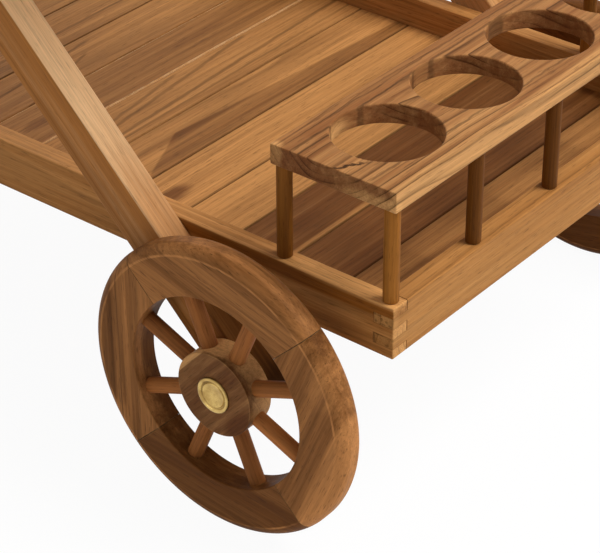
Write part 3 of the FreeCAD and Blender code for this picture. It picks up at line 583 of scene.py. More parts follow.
class SapStrip(SharedEffect):
    """A mask on one side of a wandering line along the grain."""

    title = "sap_strip"
    inputs = {"Vector": "Vector", "Place": "Float", "Slope": "Float", "Softness": "Float", "Wander": "Float"}
    outputs = {"Mask": "Float"}
    wander_grain = (7, 25, 25)

    @classmethod
    def wire(cls, graph: Graph, given: bpy.types.NodeOutputs) -> dict[str, Socket]:
        """Wire the distance to the line, bent by long noise, into an eased step.

        Args:
            graph: The group's graph.
            given: The group's inputs.

        Returns:
            What the group puts out, by name.
        """
        axes = graph.axes(given["Vector"])
        line = graph.math("MULTIPLY_ADD", axes[0], given["Slope"], given["Place"])
        wander = graph.centred(graph.noise(given["Vector"], cls.wander_grain, 3))
        line = graph.math("MULTIPLY_ADD", wander, given["Wander"], line)
        past = graph.math("DIVIDE", graph.math("SUBTRACT", axes[1], line), given["Softness"])
        return {"Mask": graph.smooth(past, -0.5, 0.5)}


class Blot(SharedEffect):
    """A long patch with a ragged edge."""

    title = "blot"
    inputs = {"Vector": "Vector", "Centre": "Vector", "Reach": "Vector", "Raggedness": "Float"}
    outputs = {"Mask": "Float"}
    ragged_grain = (40, 260, 260)

    @classmethod
    def wire(cls, graph: Graph, given: bpy.types.NodeOutputs) -> dict[str, Socket]:
        """Wire an uneven distance from the patch's centre into an eased mask.

        Args:
            graph: The group's graph.
            given: The group's inputs.

        Returns:
            What the group puts out, by name.
        """
        away = graph.vector("DIVIDE", graph.vector("SUBTRACT", given["Vector"], given["Centre"]), given["Reach"])
        distance = graph.length(away)
        ragged = graph.centred(graph.noise(given["Vector"], cls.ragged_grain, 3, 0.6))
        distance = graph.math("MULTIPLY_ADD", ragged, given["Raggedness"], distance)
        return {"Mask": graph.smooth(distance, 0.45, 1.1, 1.0, 0.0)}


class Knot(SharedEffect):
    """A small knot: a dark heart, and a lift that leads the rings around it."""

    title = "knot"
    inputs = {"Vector": "Vector", "Centre": "Vector", "Size": "Float", "Length": "Float"}
    outputs = {"Mask": "Float", "Lift": "Float"}
    uneven_grain = (160, 420, 420)

    @classmethod
    def wire(cls, graph: Graph, given: bpy.types.NodeOutputs) -> dict[str, Socket]:
        """Wire an uneven distance from the knot's centre into a heart and a halo.

        Args:
            graph: The group's graph.
            given: The group's inputs.

        Returns:
            What the group puts out, by name.
        """
        away = graph.vector("SUBTRACT", given["Vector"], given["Centre"])
        squeeze = graph.node("CombineXYZ", {0: graph.math("DIVIDE", 1.0, given["Length"]), 1: 1.0, 2: 1.0})
        away = graph.vector("MULTIPLY", away, squeeze.outputs[0])
        uneven = graph.centred(graph.noise(given["Vector"], cls.uneven_grain, 2))
        distance = graph.length(away)
        share = graph.math("MULTIPLY_ADD", uneven, 0.9, graph.math("DIVIDE", distance, given["Size"]))
        lift = graph.math("MULTIPLY", graph.smooth(share, 0.0, 3.0, 1.4, 0.0), given["Size"])
        return {"Mask": graph.smooth(share, 0.35, 1.1, 1.0, 0.0), "Lift": lift}


class DarkVein(SharedEffect):
    """A thin dark line that wanders along the grain between two places."""

    title = "dark_vein"
    inputs = {"Vector": "Vector", "Start": "Float", "End": "Float", "Place": "Float", "Slope": "Float",
              "Width": "Float", "Wander": "Float", "Pace": "Float"}
    outputs = {"Mask": "Float"}
    wander_grain = (26, 12, 12)
    ease = 0.012

    @classmethod
    def wire(cls, graph: Graph, given: bpy.types.NodeOutputs) -> dict[str, Socket]:
        """Wire the distance to the line into a soft stroke that fades at both ends.

        Args:
            graph: The group's graph.
            given: The group's inputs.

        Returns:
            What the group puts out, by name.
        """
        feeds = {0: given["Vector"], "Scale": given["Pace"]}
        paced = graph.node("VectorMath", feeds, operation="SCALE").outputs[0]
        axes = graph.axes(given["Vector"])
        line = graph.math("MULTIPLY_ADD", axes[0], given["Slope"], given["Place"])
        noise = graph.centred(graph.noise(paced, cls.wander_grain, 4, 0.6))
        line = graph.math("MULTIPLY_ADD", noise, given["Wander"], line)
        away = graph.math("ABSOLUTE", graph.math("SUBTRACT", axes[1], line))
        stroke = graph.smooth(graph.math("DIVIDE", away, given["Width"]), 0.3, 1.0, 1.0, 0.0)
        begin = graph.smooth(axes[0], given["Start"], graph.math("ADD", given["Start"], cls.ease))
        finish = graph.smooth(axes[0], graph.math("SUBTRACT", given["End"], cls.ease), given["End"], 1.0, 0.0)
        return {"Mask": graph.math("MULTIPLY", stroke, graph.math("MULTIPLY", begin, finish))}


class Seam(SharedEffect):
    """A mask along both long edges of a slat."""

    title = "seam"
    inputs = {"Vector": "Vector", "Reach": "Float", "Width": "Float"}
    outputs = {"Mask": "Float"}
    uneven_grain = (30, 8, 8)

    @classmethod
    def wire(cls, graph: Graph, given: bpy.types.NodeOutputs) -> dict[str, Socket]:
        """Wire the distance to the nearer edge into a line that thins out in places.

        Args:
            graph: The group's graph.
            given: The group's inputs.

        Returns:
            What the group puts out, by name.
        """
        across = graph.math("ABSOLUTE", graph.axes(given["Vector"])[1])
        uneven = graph.noise(given["Vector"], cls.uneven_grain, 3, 0.6)
        width = graph.math("MULTIPLY", given["Width"], graph.math("MULTIPLY_ADD", uneven, 1.6, 0.2))
        return {"Mask": graph.smooth(across, graph.math("SUBTRACT", given["Reach"], width), given["Reach"])}


class WheelJoints(SharedEffect):
    """The glue lines between the felloes, on the two diagonals of the wheel."""

    title = "wheel_joints"
    inputs = {"Vector": "Vector", "Centre": "Vector", "Width": "Float"}
    outputs = {"Mask": "Float"}

    @classmethod
    def wire(cls, graph: Graph, given: bpy.types.NodeOutputs) -> dict[str, Socket]:
        """Wire the distance to the nearest diagonal into a line.

        Args:
            graph: The group's graph.
            given: The group's inputs.

        Returns:
            What the group puts out, by name.
        """
        axes = graph.axes(graph.vector("SUBTRACT", given["Vector"], given["Centre"]))
        flat, upright = graph.math("ABSOLUTE", axes[0]), graph.math("ABSOLUTE", axes[2])
        away = graph.math("ABSOLUTE", graph.math("SUBTRACT", flat, upright))
        return {"Mask": graph.smooth(graph.math("DIVIDE", away, given["Width"]), 0.5, 1.4, 1.0, 0.0)}


class WheelArris(SharedEffect):
    """A ring at a radius round a wheel's centre that comes and goes: the painted highlight on a wheel's edges,
    such as where its face turns into the tread, and the old polish in a cap's grooves.
    """

    title = "wheel_arris"
    inputs = {"Vector": "Vector", "Centre": "Vector", "Radius": "Float", "Width": "Float"}
    outputs = {"Mask": "Float"}
    broken_grain = (35, 35, 35)
    wheel_plane = (1.0, 0.0, 1.0)

    @classmethod
    def wire(cls, graph: Graph, given: bpy.types.NodeOutputs) -> dict[str, Socket]:
        """Wire the distance to the circle into a soft line that comes and goes.

        Args:
            graph: The group's graph.
            given: The group's inputs.

        Returns:
            What the group puts out, by name.
        """
        away = graph.vector("SUBTRACT", given["Vector"], given["Centre"])
        radius = graph.length(graph.vector("MULTIPLY", away, cls.wheel_plane))
        off = graph.math("ABSOLUTE", graph.math("SUBTRACT", radius, given["Radius"]))
        line = graph.smooth(graph.math("DIVIDE", off, given["Width"]), 0.2, 1.0, 1.0, 0.0)
        broken = graph.smooth(graph.noise(given["Vector"], cls.broken_grain, 3, 0.6), 0.35, 0.65, 0.25, 1.0)
        return {"Mask": graph.math("MULTIPLY", line, broken)}


class EdgeWear(SharedEffect):
    """A broken mask along the sharp edges of a piece, and a normal that rounds them."""

    title = "edge_wear"
    inputs = {"Width": "Float", "Grain": "Vector"}
    outputs = {"Mask": "Float", "Normal": "Vector"}
    broken_grain = (90, 260, 260)

    @classmethod
    def wire(cls, graph: Graph, given: bpy.types.NodeOutputs) -> dict[str, Socket]:
        """Wire the angle between the rounded and the true normal into a mask.

        Args:
            graph: The group's graph.
            given: The group's inputs.

        Returns:
            What the group puts out, by name.
        """
        rounded = graph.node("Bevel", {"Radius": given["Width"]}, samples=6).outputs[0]
        true = graph.node("NewGeometry").outputs["Normal"]
        edge = graph.smooth(graph.math("SUBTRACT", 1.0, graph.dot(rounded, true)), 0.01, 0.16)
        broken = graph.smooth(graph.noise(given["Grain"], cls.broken_grain, 3, 0.65), 0.3, 0.6)
        return {"Mask": graph.math("MULTIPLY", edge, broken), "Normal": rounded}


class PlankRow(SharedEffect):
    """A shift of the figure and of the tone from plank to plank in a row across the grain, and the seams."""

    title = "plank_row"
    inputs = {"Vector": "Vector", "Pitch": "Float", "Spread": "Float", "Tone": "Float", "Seam Width": "Float"}
    outputs = {"Vector": "Vector", "Tone": "Float", "Seam": "Float"}
    plank_shift = (3.0, 0.0, 0.05)

    @classmethod
    def wire(cls, graph: Graph, given: bpy.types.NodeOutputs) -> dict[str, Socket]:
        """Wire the plank's number into a random shift.

        Args:
            graph: The group's graph.
            given: The group's inputs.

        Returns:
            What the group puts out, by name.
        """
        axes = graph.axes(given["Vector"])
        number = graph.math("FLOOR", graph.math("DIVIDE", axes[1], given["Pitch"]))
        chance = graph.node("TexWhiteNoise", {"W": number}, noise_dimensions="1D").outputs
        shift = graph.vector("MULTIPLY", chance["Color"], cls.plank_shift)
        inside = graph.math("SUBTRACT", axes[1], graph.math("MULTIPLY", number, given["Pitch"]))
        centred = graph.node("CombineXYZ", {0: axes[0], 1: inside, 2: axes[2]}).outputs[0]
        tone = graph.math("MULTIPLY_ADD", graph.centred(chance["Value"]), given["Spread"], given["Tone"])
        edge = graph.math("MINIMUM", inside, graph.math("SUBTRACT", given["Pitch"], inside))
        seam = graph.smooth(edge, 0.0, given["Seam Width"], 0.5, 0.0)
        return {"Vector": graph.vector("ADD", centred, shift), "Tone": tone, "Seam": seam}


class MetalGrain(SharedEffect):
    """Fine scratches and dull patches on turned or rolled metal."""

    title = "metal_grain"
    inputs = {"Vector": "Vector", "Clean": "Color", "Dull": "Color"}
    outputs = {"Color": "Color", "Roughness": "Float", "Height": "Float"}
    tarnish_grain = (110, 110, 110)
    scratch_grain = (300, 300, 4200)

    @classmethod
    def wire(cls, graph: Graph, given: bpy.types.NodeOutputs) -> dict[str, Socket]:
        """Wire broad tarnish and fine scratches.

        Args:
            graph: The group's graph.
            given: The group's inputs.

        Returns:
            What the group puts out, by name.
        """
        tarnish = graph.smooth(graph.noise(given["Vector"], cls.tarnish_grain, 3, 0.6), 0.35, 0.7)
        scratch = graph.noise(given["Vector"], cls.scratch_grain, 2)
        colour = graph.mix(graph.math("MULTIPLY", tarnish, 0.6), given["Clean"], given["Dull"])
        rough = graph.math("MULTIPLY_ADD", tarnish, 0.16, 0.18)
        return {"Color": colour, "Roughness": graph.math("MULTIPLY_ADD", scratch, 0.14, rough), "Height": scratch}


class MouldedSkin(SharedEffect):
    """The faint cloudy skin of moulded plastic."""

    title = "moulded_skin"
    inputs = {"Vector": "Vector", "Clean": "Color", "Soiled": "Color"}
    outputs = {"Color": "Color", "Roughness": "Float"}
    cloud_grain = (180, 180, 180)

    @classmethod
    def wire(cls, graph: Graph, given: bpy.types.NodeOutputs) -> dict[str, Socket]:
        """Wire soft clouds into the colour and the roughness.

        Args:
            graph: The group's graph.
            given: The group's inputs.

        Returns:
            What the group puts out, by name.
        """
        cloud = graph.smooth(graph.noise(given["Vector"], cls.cloud_grain, 4, 0.6), 0.4, 0.75)
        return {"Color": graph.mix(cloud, given["Clean"], given["Soiled"]),
                "Roughness": graph.math("MULTIPLY_ADD", cloud, 0.15, 0.5)}


@dataclass(frozen=True)
class Grain:
    """How a piece was cut from its board.

    The figure's own axes are X along the grain, Y across it and Z out of the broad face. The pith shifts the
    place on the piece to the place in the tree: the rings lie about its negative.
    """

    centre: Vector
    along: Vector
    face: Vector
    pith: Triple

    @property
    def turn(self) -> Matrix:
        """Return the turn from the cart's axes to the figure's axes."""
        along = self.along.normalized()
        across = self.face.cross(along).normalized()
        return Matrix((along, across, along.cross(across)))

    @classmethod
    def of_node(cls, node: str, along: Triple, face: Triple, depth: float = 0.07, aside: float = 0.03) -> "Grain":
        """Cut a node from a board of its own.

        Args:
            node: The CAD node's name.
            along: The direction of its grain.
            face: The direction that its broad face looks.
            depth: How far below the face the pith lies.
            aside: How far to either side of the piece the pith may lie.

        Returns:
            The cut, with the pith placed by the node's name.
        """
        chance = seeded(node)
        pith = (chance.uniform(-TREE_REACH, TREE_REACH), chance.uniform(-aside, aside),
                depth * chance.uniform(0.8, 1.3))
        return cls(middle(node), Vector(along), Vector(face), pith)


@dataclass(frozen=True)
class Spot:
    """Where a shader is on a piece: in the cart's axes, in the figure's axes, and whether on end grain."""

    cart: Socket
    figure: Socket
    end: Socket


class Mark:
    """Something that grew in one piece of wood or was done to it, or light and shade painted onto it."""

    def wire(self, graph: Graph, spot: Spot) -> dict[Channel, Socket]:
        """Return what the mark adds to each channel.

        Args:
            graph: The material's graph.
            spot: Where the shader is on the piece.

        Returns:
            What the mark adds, by channel.
        """
        raise NotImplementedError


@dataclass(frozen=True)
class ToneStrip(Mark):
    """Lighter or darker wood past a line along the grain; some strips paint light onto a face instead."""

    place: float
    change: float
    slope: float = 0.0
    softness: float = 0.004
    wander: float = 0.006

    def wire(self, graph: Graph, spot: Spot) -> dict[Channel, Socket]:
        """Return the change of tone.

        Args:
            graph: The material's graph.
            spot: Where the shader is on the piece.

        Returns:
            What the mark adds, by channel.
        """
        mask = SapStrip.place(graph, Vector=spot.figure, Place=self.place, Slope=self.slope,
                              Softness=self.softness, Wander=self.wander)["Mask"]
        return {Channel.TONE: graph.math("MULTIPLY", mask, self.change)}


@dataclass(frozen=True)
class Wedge(Mark):
    """Lighter or darker wood below two lines that meet; each line is a place and a slope."""

    lines: Sequence[tuple[float, float]]
    change: float
    softness: float = 0.003
    wander: float = 0.005

    def wire(self, graph: Graph, spot: Spot) -> dict[Channel, Socket]:
        """Return the change of tone.

        Args:
            graph: The material's graph.
            spot: Where the shader is on the piece.

        Returns:
            What the mark adds, by channel.
        """
        inside: Feed = self.change
        for place, slope in self.lines:
            past = SapStrip.place(graph, Vector=spot.figure, Place=place, Slope=slope, Softness=self.softness,
                                  Wander=self.wander)["Mask"]
            inside = graph.math("MULTIPLY", graph.math("SUBTRACT", 1.0, past), inside)
        return {Channel.TONE: inside}


@dataclass(frozen=True)
class SeamMark(Mark):
    """The dark or rubbed long edges of a slat."""

    reach: float
    width: float = 0.0018
    change: float = 0.0
    stain: float = 0.5

    def wire(self, graph: Graph, spot: Spot) -> dict[Channel, Socket]:
        """Return the change of tone and the stain.

        Args:
            graph: The material's graph.
            spot: Where the shader is on the piece.

        Returns:
            What the mark adds, by channel.
        """
        mask = Seam.place(graph, Vector=spot.figure, Reach=self.reach, Width=self.width)["Mask"]
        return {Channel.TONE: graph.math("MULTIPLY", mask, self.change),
                Channel.STAIN: graph.math("MULTIPLY", mask, self.stain)}


@dataclass(frozen=True)
class Patch(Mark):
    """A lighter or darker patch, measured from the piece's centre along the figure's axes."""

    centre: Triple
    reach: Triple
    change: float = 0.0
    stain: float = 0.0
    raggedness: float = 0.9

    def wire(self, graph: Graph, spot: Spot) -> dict[Channel, Socket]:
        """Return the change of tone and the stain.

        Args:
            graph: The material's graph.
            spot: Where the shader is on the piece.

        Returns:
            What the mark adds, by channel.
        """
        mask = Blot.place(graph, Vector=spot.figure, Centre=self.centre, Reach=self.reach,
                          Raggedness=self.raggedness)["Mask"]
        parts = {Channel.TONE: self.change, Channel.STAIN: self.stain}
        return {channel: graph.math("MULTIPLY", mask, part) for channel, part in parts.items() if part}


@dataclass(frozen=True)
class KnotMark(Mark):
    """A knot at a place on the piece, measured from the piece's centre along the figure's axes."""

    centre: Triple
    size: float
    length: float = 2.0
    depth: float = 0.8

    def wire(self, graph: Graph, spot: Spot) -> dict[Channel, Socket]:
        """Return the knot's stain and the lift of the rings around it.

        Args:
            graph: The material's graph.
            spot: Where the shader is on the piece.

        Returns:
            What the mark adds, by channel.
        """
        made = Knot.place(graph, Vector=spot.figure, Centre=self.centre, Size=self.size, Length=self.length)
        return {Channel.STAIN: graph.math("MULTIPLY", made["Mask"], self.depth), Channel.LIFT: made["Lift"]}


@dataclass(frozen=True)
class VeinMark(Mark):
    """A thin dark line along the grain."""

    start: float
    end: float
    place: float
    slope: float = 0.0
    width: float = 0.0012
    wander: float = 0.012
    depth: float = 0.6
    pace: float = 1.0

    def wire(self, graph: Graph, spot: Spot) -> dict[Channel, Socket]:
        """Return the line's stain, which stays off the end grain.

        Args:
            graph: The material's graph.
            spot: Where the shader is on the piece.

        Returns:
            What the mark adds, by channel.
        """
        mask = DarkVein.place(graph, Vector=spot.figure, Start=self.start, End=self.end, Place=self.place,
                              Slope=self.slope, Width=self.width, Wander=self.wander, Pace=self.pace)["Mask"]
        depth = graph.math("MULTIPLY_ADD", spot.end, -self.depth, self.depth)
        return {Channel.STAIN: graph.math("MULTIPLY", mask, depth)}


@dataclass(frozen=True)
class GlueLines(Mark):
    """The dark joints between the felloes of a wheel."""

    centre: Triple
    width: float = 0.0007
    depth: float = 0.8

    def wire(self, graph: Graph, spot: Spot) -> dict[Channel, Socket]:
        """Return the lines' stain.

        Args:
            graph: The material's graph.
            spot: Where the shader is on the piece.

        Returns:
            What the mark adds, by channel.
        """
        mask = WheelJoints.place(graph, Vector=spot.cart, Centre=self.centre, Width=self.width)["Mask"]
        return {Channel.STAIN: graph.math("MULTIPLY", mask, self.depth)}


@dataclass(frozen=True)
class WornArris(Mark):
    """A painted highlight: a pale ring round a wheel's edge, such as where its face turns into the tread, painted
    where the light catches it.
    """

    centre: Triple
    radius: float
    width: float = 0.0014
    change: float = -0.8

    def wire(self, graph: Graph, spot: Spot) -> dict[Channel, Socket]:
        """Return the change of tone.

        Args:
            graph: The material's graph.
            spot: Where the shader is on the piece.

        Returns:
            What the mark adds, by channel.
        """
        mask = WheelArris.place(graph, Vector=spot.cart, Centre=self.centre, Radius=self.radius,
                                Width=self.width)["Mask"]
        return {Channel.TONE: graph.math("MULTIPLY", mask, self.change)}


@dataclass(frozen=True)
class WoodFinish:
    """An oiled wood finish. Colours are screen colours; tone runs from 0, pale, to 1, deep."""

    pale: Rgb
    deep: Rgb
    line: Rgb
    tone: float = 0.4
    ring_spacing: float = 0.008
    ring_contrast: float = 0.5
    wobble: float = 0.012
    streak: float = 1.0
    breadth: float = 0.9
    pores: float = 0.4
    end_depth: float = 0.3
    worn: Rgb = (224, 176, 112)
    wear: float = 0.45
    wear_width: float = 0.0014
    plank_spread: float = 0.8
    plank_seam: float = 0.0022
    bump: float = 0.3
    bump_depth: float = 0.0004
    gloss: float = 0.05

    def material(self, name: str, grain: Grain, marks: Sequence[Mark] = (), planks: float = 0.0
                 ) -> bpy.types.Material:
        """Make the finish for one piece.

        Args:
            name: The piece's name.
            grain: How the piece was cut.
            marks: What grew in it, and any light and shade painted onto it.
            planks: The pitch of a row of planks that share the material, or 0 for one piece.

        Returns:
            The new material.
        """
        material, graph = new_material(name)
        turn = grain.turn
        cart = graph.node("TexCoord").outputs["Object"]
        place = graph.node("Mapping", {"Vector": cart, "Location": -(turn @ grain.centre),
                                       "Rotation": turn.to_euler()}).outputs[0]
        tone: Feed = self.tone
        figure = place
        if planks:
            row = PlankRow.place(graph, Vector=place, Pitch=planks, Spread=self.plank_spread, Tone=self.tone,
                                 Seam_Width=self.plank_seam)
            figure, tone = row["Vector"], row["Tone"]
        end = EndGrain.place(graph, Along=grain.along.normalized())["Mask"]
        feeds = self.gather(graph, Spot(cart, place, end), marks)
        if planks:
            feeds["Stain"] = row["Seam"]
        feeds["Tone"] = graph.math("ADD", feeds["Tone"], tone) if "Tone" in feeds else tone
        feeds["End"] = end
        self.shade(graph, graph.vector("ADD", figure, grain.pith), feeds)
        return material

    @staticmethod
    def gather(graph: Graph, spot: Spot, marks: Sequence[Mark]) -> dict[str, Feed]:
        """Add up what all the marks change, by the name of the figure's input.

        Args:
            graph: The material's graph.
            spot: Where the shader is on the piece.
            marks: The marks.

        Returns:
            The sums, by the name of the figure's input.
        """
        total: dict[str, Feed] = {}
        for mark in marks:
            for channel, value in mark.wire(graph, spot).items():
                name = channel.value
                total[name] = graph.math("ADD", total[name], value) if name in total else value
        return total

    def shade(self, graph: Graph, figure: Socket, feeds: Mapping[str, Feed]) -> None:
        """Wire the figure and the worn edges into the shader.

        Args:
            graph: The material's graph.
            figure: The place in the board.
            feeds: The tone, the end grain and what the marks add.
        """
        wood = WoodFigure.place(
            graph, Vector=figure, Pale=linear(self.pale), Deep=linear(self.deep), Line=linear(self.line),
            Ring_Spacing=self.ring_spacing, Ring_Contrast=self.ring_contrast, Wobble=self.wobble,
            Streak=self.streak, Breadth=self.breadth, Pores=self.pores, End_Depth=self.end_depth, **feeds)
        edge = EdgeWear.place(graph, Width=self.wear_width, Grain=figure)
        worn = graph.math("MULTIPLY", edge["Mask"], self.wear)
        colour = graph.mix(worn, wood["Color"], linear(self.worn))
        bump = graph.node("Bump", {"Strength": self.bump, "Distance": self.bump_depth,
                                   "Height": wood["Height"]}).outputs[0]
        graph.surface(graph.node("BsdfPrincipled", {"Base Color": colour, "Roughness": wood["Roughness"],
                                                    "Normal": bump, "Specular IOR Level": self.gloss}))


@dataclass(frozen=True)
class MetalFinish:
    """A bare metal finish. Colours are screen colours."""

    clean: Rgb
    dull: Rgb
    old_polish: Rgb = (104, 78, 40)
    edge_width: float = 0.0004
    bump: float = 0.1
    bump_depth: float = 0.0001

    def material(self, name: str, rings: Mapping[float, float] | None = None, centre: Triple = (0.0, 0.0, 0.0)
                 ) -> bpy.types.Material:
        """Make the finish for one piece.

        Args:
            name: The piece's name.
            rings: The radius and width of each groove that holds old polish.
            centre: The centre of the grooves.

        Returns:
            The new material.
        """
        material, graph = new_material(name)
        place = graph.node("TexCoord").outputs["Object"]
        metal = MetalGrain.place(graph, Vector=place, Clean=linear(self.clean), Dull=linear(self.dull))
        colour = metal["Color"]
        for radius, width in (rings or {}).items():
            mask = WheelArris.place(graph, Vector=place, Centre=centre, Radius=radius, Width=width)["Mask"]
            colour = graph.mix(mask, colour, linear(self.old_polish))
        edge = EdgeWear.place(graph, Width=self.edge_width, Grain=place)
        bump = graph.node("Bump", {"Strength": self.bump, "Distance": self.bump_depth,
                                   "Height": metal["Height"], "Normal": edge["Normal"]}).outputs[0]
        graph.surface(graph.node("BsdfPrincipled", {"Base Color": colour, "Roughness": metal["Roughness"],
                                                    "Metallic": 1.0, "Normal": bump}))
        return material


@dataclass(frozen=True)
class PlasticFinish:
    """A matte moulded plastic. Colours are screen colours."""

    clean: Rgb
    soiled: Rgb

    def material(self, name: str) -> bpy.types.Material:
        """Make the finish for one piece.

        Args:
            name: The piece's name.

        Returns:
            The new material.
        """
        material, graph = new_material(name)
        place = graph.node("TexCoord").outputs["Object"]
        skin = MouldedSkin.place(graph, Vector=place, Clean=linear(self.clean), Soiled=linear(self.soiled))
        graph.surface(graph.node("BsdfPrincipled", {"Base Color": skin["Color"], "Roughness": skin["Roughness"]}))
        return material


SIDE_RAIL = WoodFinish(pale=(204, 148, 88), deep=(130, 76, 26), line=(82, 46, 12), tone=0.62, end_depth=-0.6,
                       worn=(78, 44, 14), wear=0.5)
END_RAIL = replace(SIDE_RAIL, pale=(178, 127, 72), tone=0.34, end_depth=0.05)
SLAT = WoodFinish(pale=(206, 148, 86), deep=(108, 65, 30), line=(78, 44, 14), ring_spacing=0.011,
                  ring_contrast=0.4, breadth=0.65, worn=(66, 36, 12), wear=0.6, wear_width=0.0016)
SANDED_SLAT = replace(SLAT, worn=(240, 214, 170), wear=1.0, wear_width=0.003)
BOARD = WoodFinish(pale=(206, 154, 96), deep=(120, 72, 38), line=(66, 36, 12), tone=0.27, ring_spacing=0.0065,
                   wobble=0.03, ring_contrast=0.95, end_depth=0.22, worn=(232, 190, 128), wear=0.65)
DOWEL = WoodFinish(pale=(166, 106, 42), deep=(94, 54, 16), line=(60, 32, 8), tone=0.6)
LEG = WoodFinish(pale=(230, 187, 138), deep=(164, 106, 52), line=(100, 58, 18), ring_contrast=0.3, streak=0.55,
                 pores=0.3)
RIM = WoodFinish(pale=(182, 124, 72), deep=(100, 60, 26), line=(62, 34, 8), tone=0.5, streak=1.3, pores=0.5,
                 worn=(172, 126, 74))
HUB = WoodFinish(pale=(204, 152, 96), deep=(94, 55, 27), line=(58, 32, 10), tone=1.0, ring_contrast=0.3,
                 streak=0.4, worn=(150, 104, 56))
SPOKE = WoodFinish(pale=(178, 112, 60), deep=(108, 65, 32), line=(70, 38, 10), tone=0.45)
BRASS = MetalFinish(clean=(206, 174, 106), dull=(150, 114, 60))
STEEL = MetalFinish(clean=(172, 172, 168), dull=(122, 122, 120))
BUSH = PlasticFinish(clean=(218, 213, 200), soiled=(188, 182, 166))


def assign(node: str, material: bpy.types.Material) -> None:
    """Give a CAD node its finish.

    Args:
        node: The node's name.
        material: Its material.
    """
    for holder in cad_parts[node].material_slots:
        holder.material = material
    log.info("dressed %s", node)


@dataclass
class PhotoCamera:
    """The camera that took the reference view, worked out from the edges of the lower tray."""

    place: Triple = (1.3292, -1.3928, 1.2141)
    right: Triple = (0.7825, 0.6226, 0.0)
    up: Triple = (-0.3518, 0.4422, 0.8250)
    back: Triple = (0.5137, -0.6456, 0.5651)
    lens: float = 136.8
    shift: tuple[float, float] = (-0.0235, 0.0826)
    sight: float = 50.0

    def build(self) -> None:
        """Set the scene's camera."""
        data = bpy.data.cameras.new("photo_camera")
        data.lens = self.lens
        data.shift_x, data.shift_y = self.shift
        data.clip_end = self.sight
        camera = linked("photo_camera", data)
        turn = Matrix((self.right, self.up, self.back)).transposed().to_4x4()
        camera.matrix_world = Matrix.Translation(self.place) @ turn
        bpy.context.scene.camera = camera


@dataclass(frozen=True)
class Lamp:
    """A square soft lamp that looks at a target."""

    name: str
    place: Triple
    target: Triple
    size: float
    power: float

    def build(self) -> None:
        """Hang the lamp."""
        data = bpy.data.lights.new(self.name, "AREA")
        data.size = self.size
        data.energy = self.power
        lamp = linked(self.name, data)
        aim = (Vector(self.target) - Vector(self.place)).to_track_quat("-Z", "Y")
        lamp.matrix_world = Matrix.Translation(self.place) @ aim.to_matrix().to_4x4()


@dataclass
class Studio:
    """A pale floor, a white surround and soft lamps."""

    floor_size: float = 14.0
    floor_colour: Rgb = (246, 245, 243)
    floor_glow: float = 0.95
    fade: tuple[float, float] = (0.9, 3.5)
    sky: float = 0.3
    lamps: Sequence[Lamp] = (
        Lamp("key_lamp", (1.9, 0.7, 2.8), (0.25, 0.0, 0.3), 1.6, 108),
        Lamp("fill_lamp", (-0.4, -3.2, 1.9), (0.1, -0.1, 0.4), 2.2, 14),
        Lamp("back_lamp", (-2.6, 1.6, 2.4), (0.0, 0.0, 0.4), 1.8, 28),
    )

    def build(self) -> None:
        """Build the floor, the surround and the lamps."""
        self.lay_floor()
        self.set_surround()
        for lamp in self.lamps:
            lamp.build()

    def lay_floor(self) -> None:
        """Lay the floor; seen by the camera it is nearly white, and it keeps the shadow."""
        mesh = bpy.data.meshes.new("floor")
        shape = bmesh.new()
        bmesh.ops.create_grid(shape, x_segments=1, y_segments=1, size=self.floor_size / 2)
        shape.to_mesh(mesh)
        shape.free()
        floor = linked("floor", mesh)
        material, graph = new_material("floor")
        diffuse = graph.node("BsdfDiffuse", {"Color": linear(self.floor_colour)})
        glow = graph.node("Emission", {"Color": WHITE, "Strength": 1.0})
        place = graph.node("TexCoord").outputs["Object"]
        away = graph.length(place)
        glowing = graph.smooth(away, *self.fade, self.floor_glow, 1.0)
        share = graph.math("MULTIPLY", self.straight_view(graph), glowing)
        graph.surface(graph.node("MixShader", {0: share, 1: diffuse.outputs[0], 2: glow.outputs[0]}))
        mesh.materials.append(material)

    @staticmethod
    def straight_view(graph: Graph) -> Socket:
        """Return 1 for what the camera sees straight, in a mirror or through glass, and 0 for light.

        Args:
            graph: The graph of the floor or the surround.

        Returns:
            The value.
        """
        path = graph.node("LightPath").outputs
        seen = graph.math("MAXIMUM", path["Is Camera Ray"], path["Is Glossy Ray"])
        return graph.math("MAXIMUM", seen, path["Is Transmission Ray"])

    def set_surround(self) -> None:
        """Set a white surround that lights the object with less than it shows."""
        world = bpy.data.worlds.new("surround")
        world.use_nodes = True
        graph = Graph(world.node_tree)
        strength = graph.math("MULTIPLY_ADD", self.straight_view(graph), 1.0 - self.sky, self.sky)
        background = graph.node("Background", {"Color": WHITE, "Strength": strength})
        graph.surface(background, "OutputWorld")
        bpy.context.scene.world = world


@dataclass(frozen=True)
class Slat:
    """One slat's tone, what grew in it, and whether its edges were sanded pale."""

    tone: float
    marks: Sequence[Mark] = ()
    seam: float = 0.5
    sanded: bool = False
    sanded_change: float = -1.2

    @property
    def finish(self) -> WoodFinish:
        """Return the slats' finish in this slat's tone."""
        return replace(SANDED_SLAT if self.sanded else SLAT, tone=self.tone)

    def edge_mark(self, reach: float) -> SeamMark:
        """Return the mark along the slat's long edges, at a reach from its middle."""
        return SeamMark(reach, change=self.sanded_change if self.sanded else 0.0, stain=self.seam)


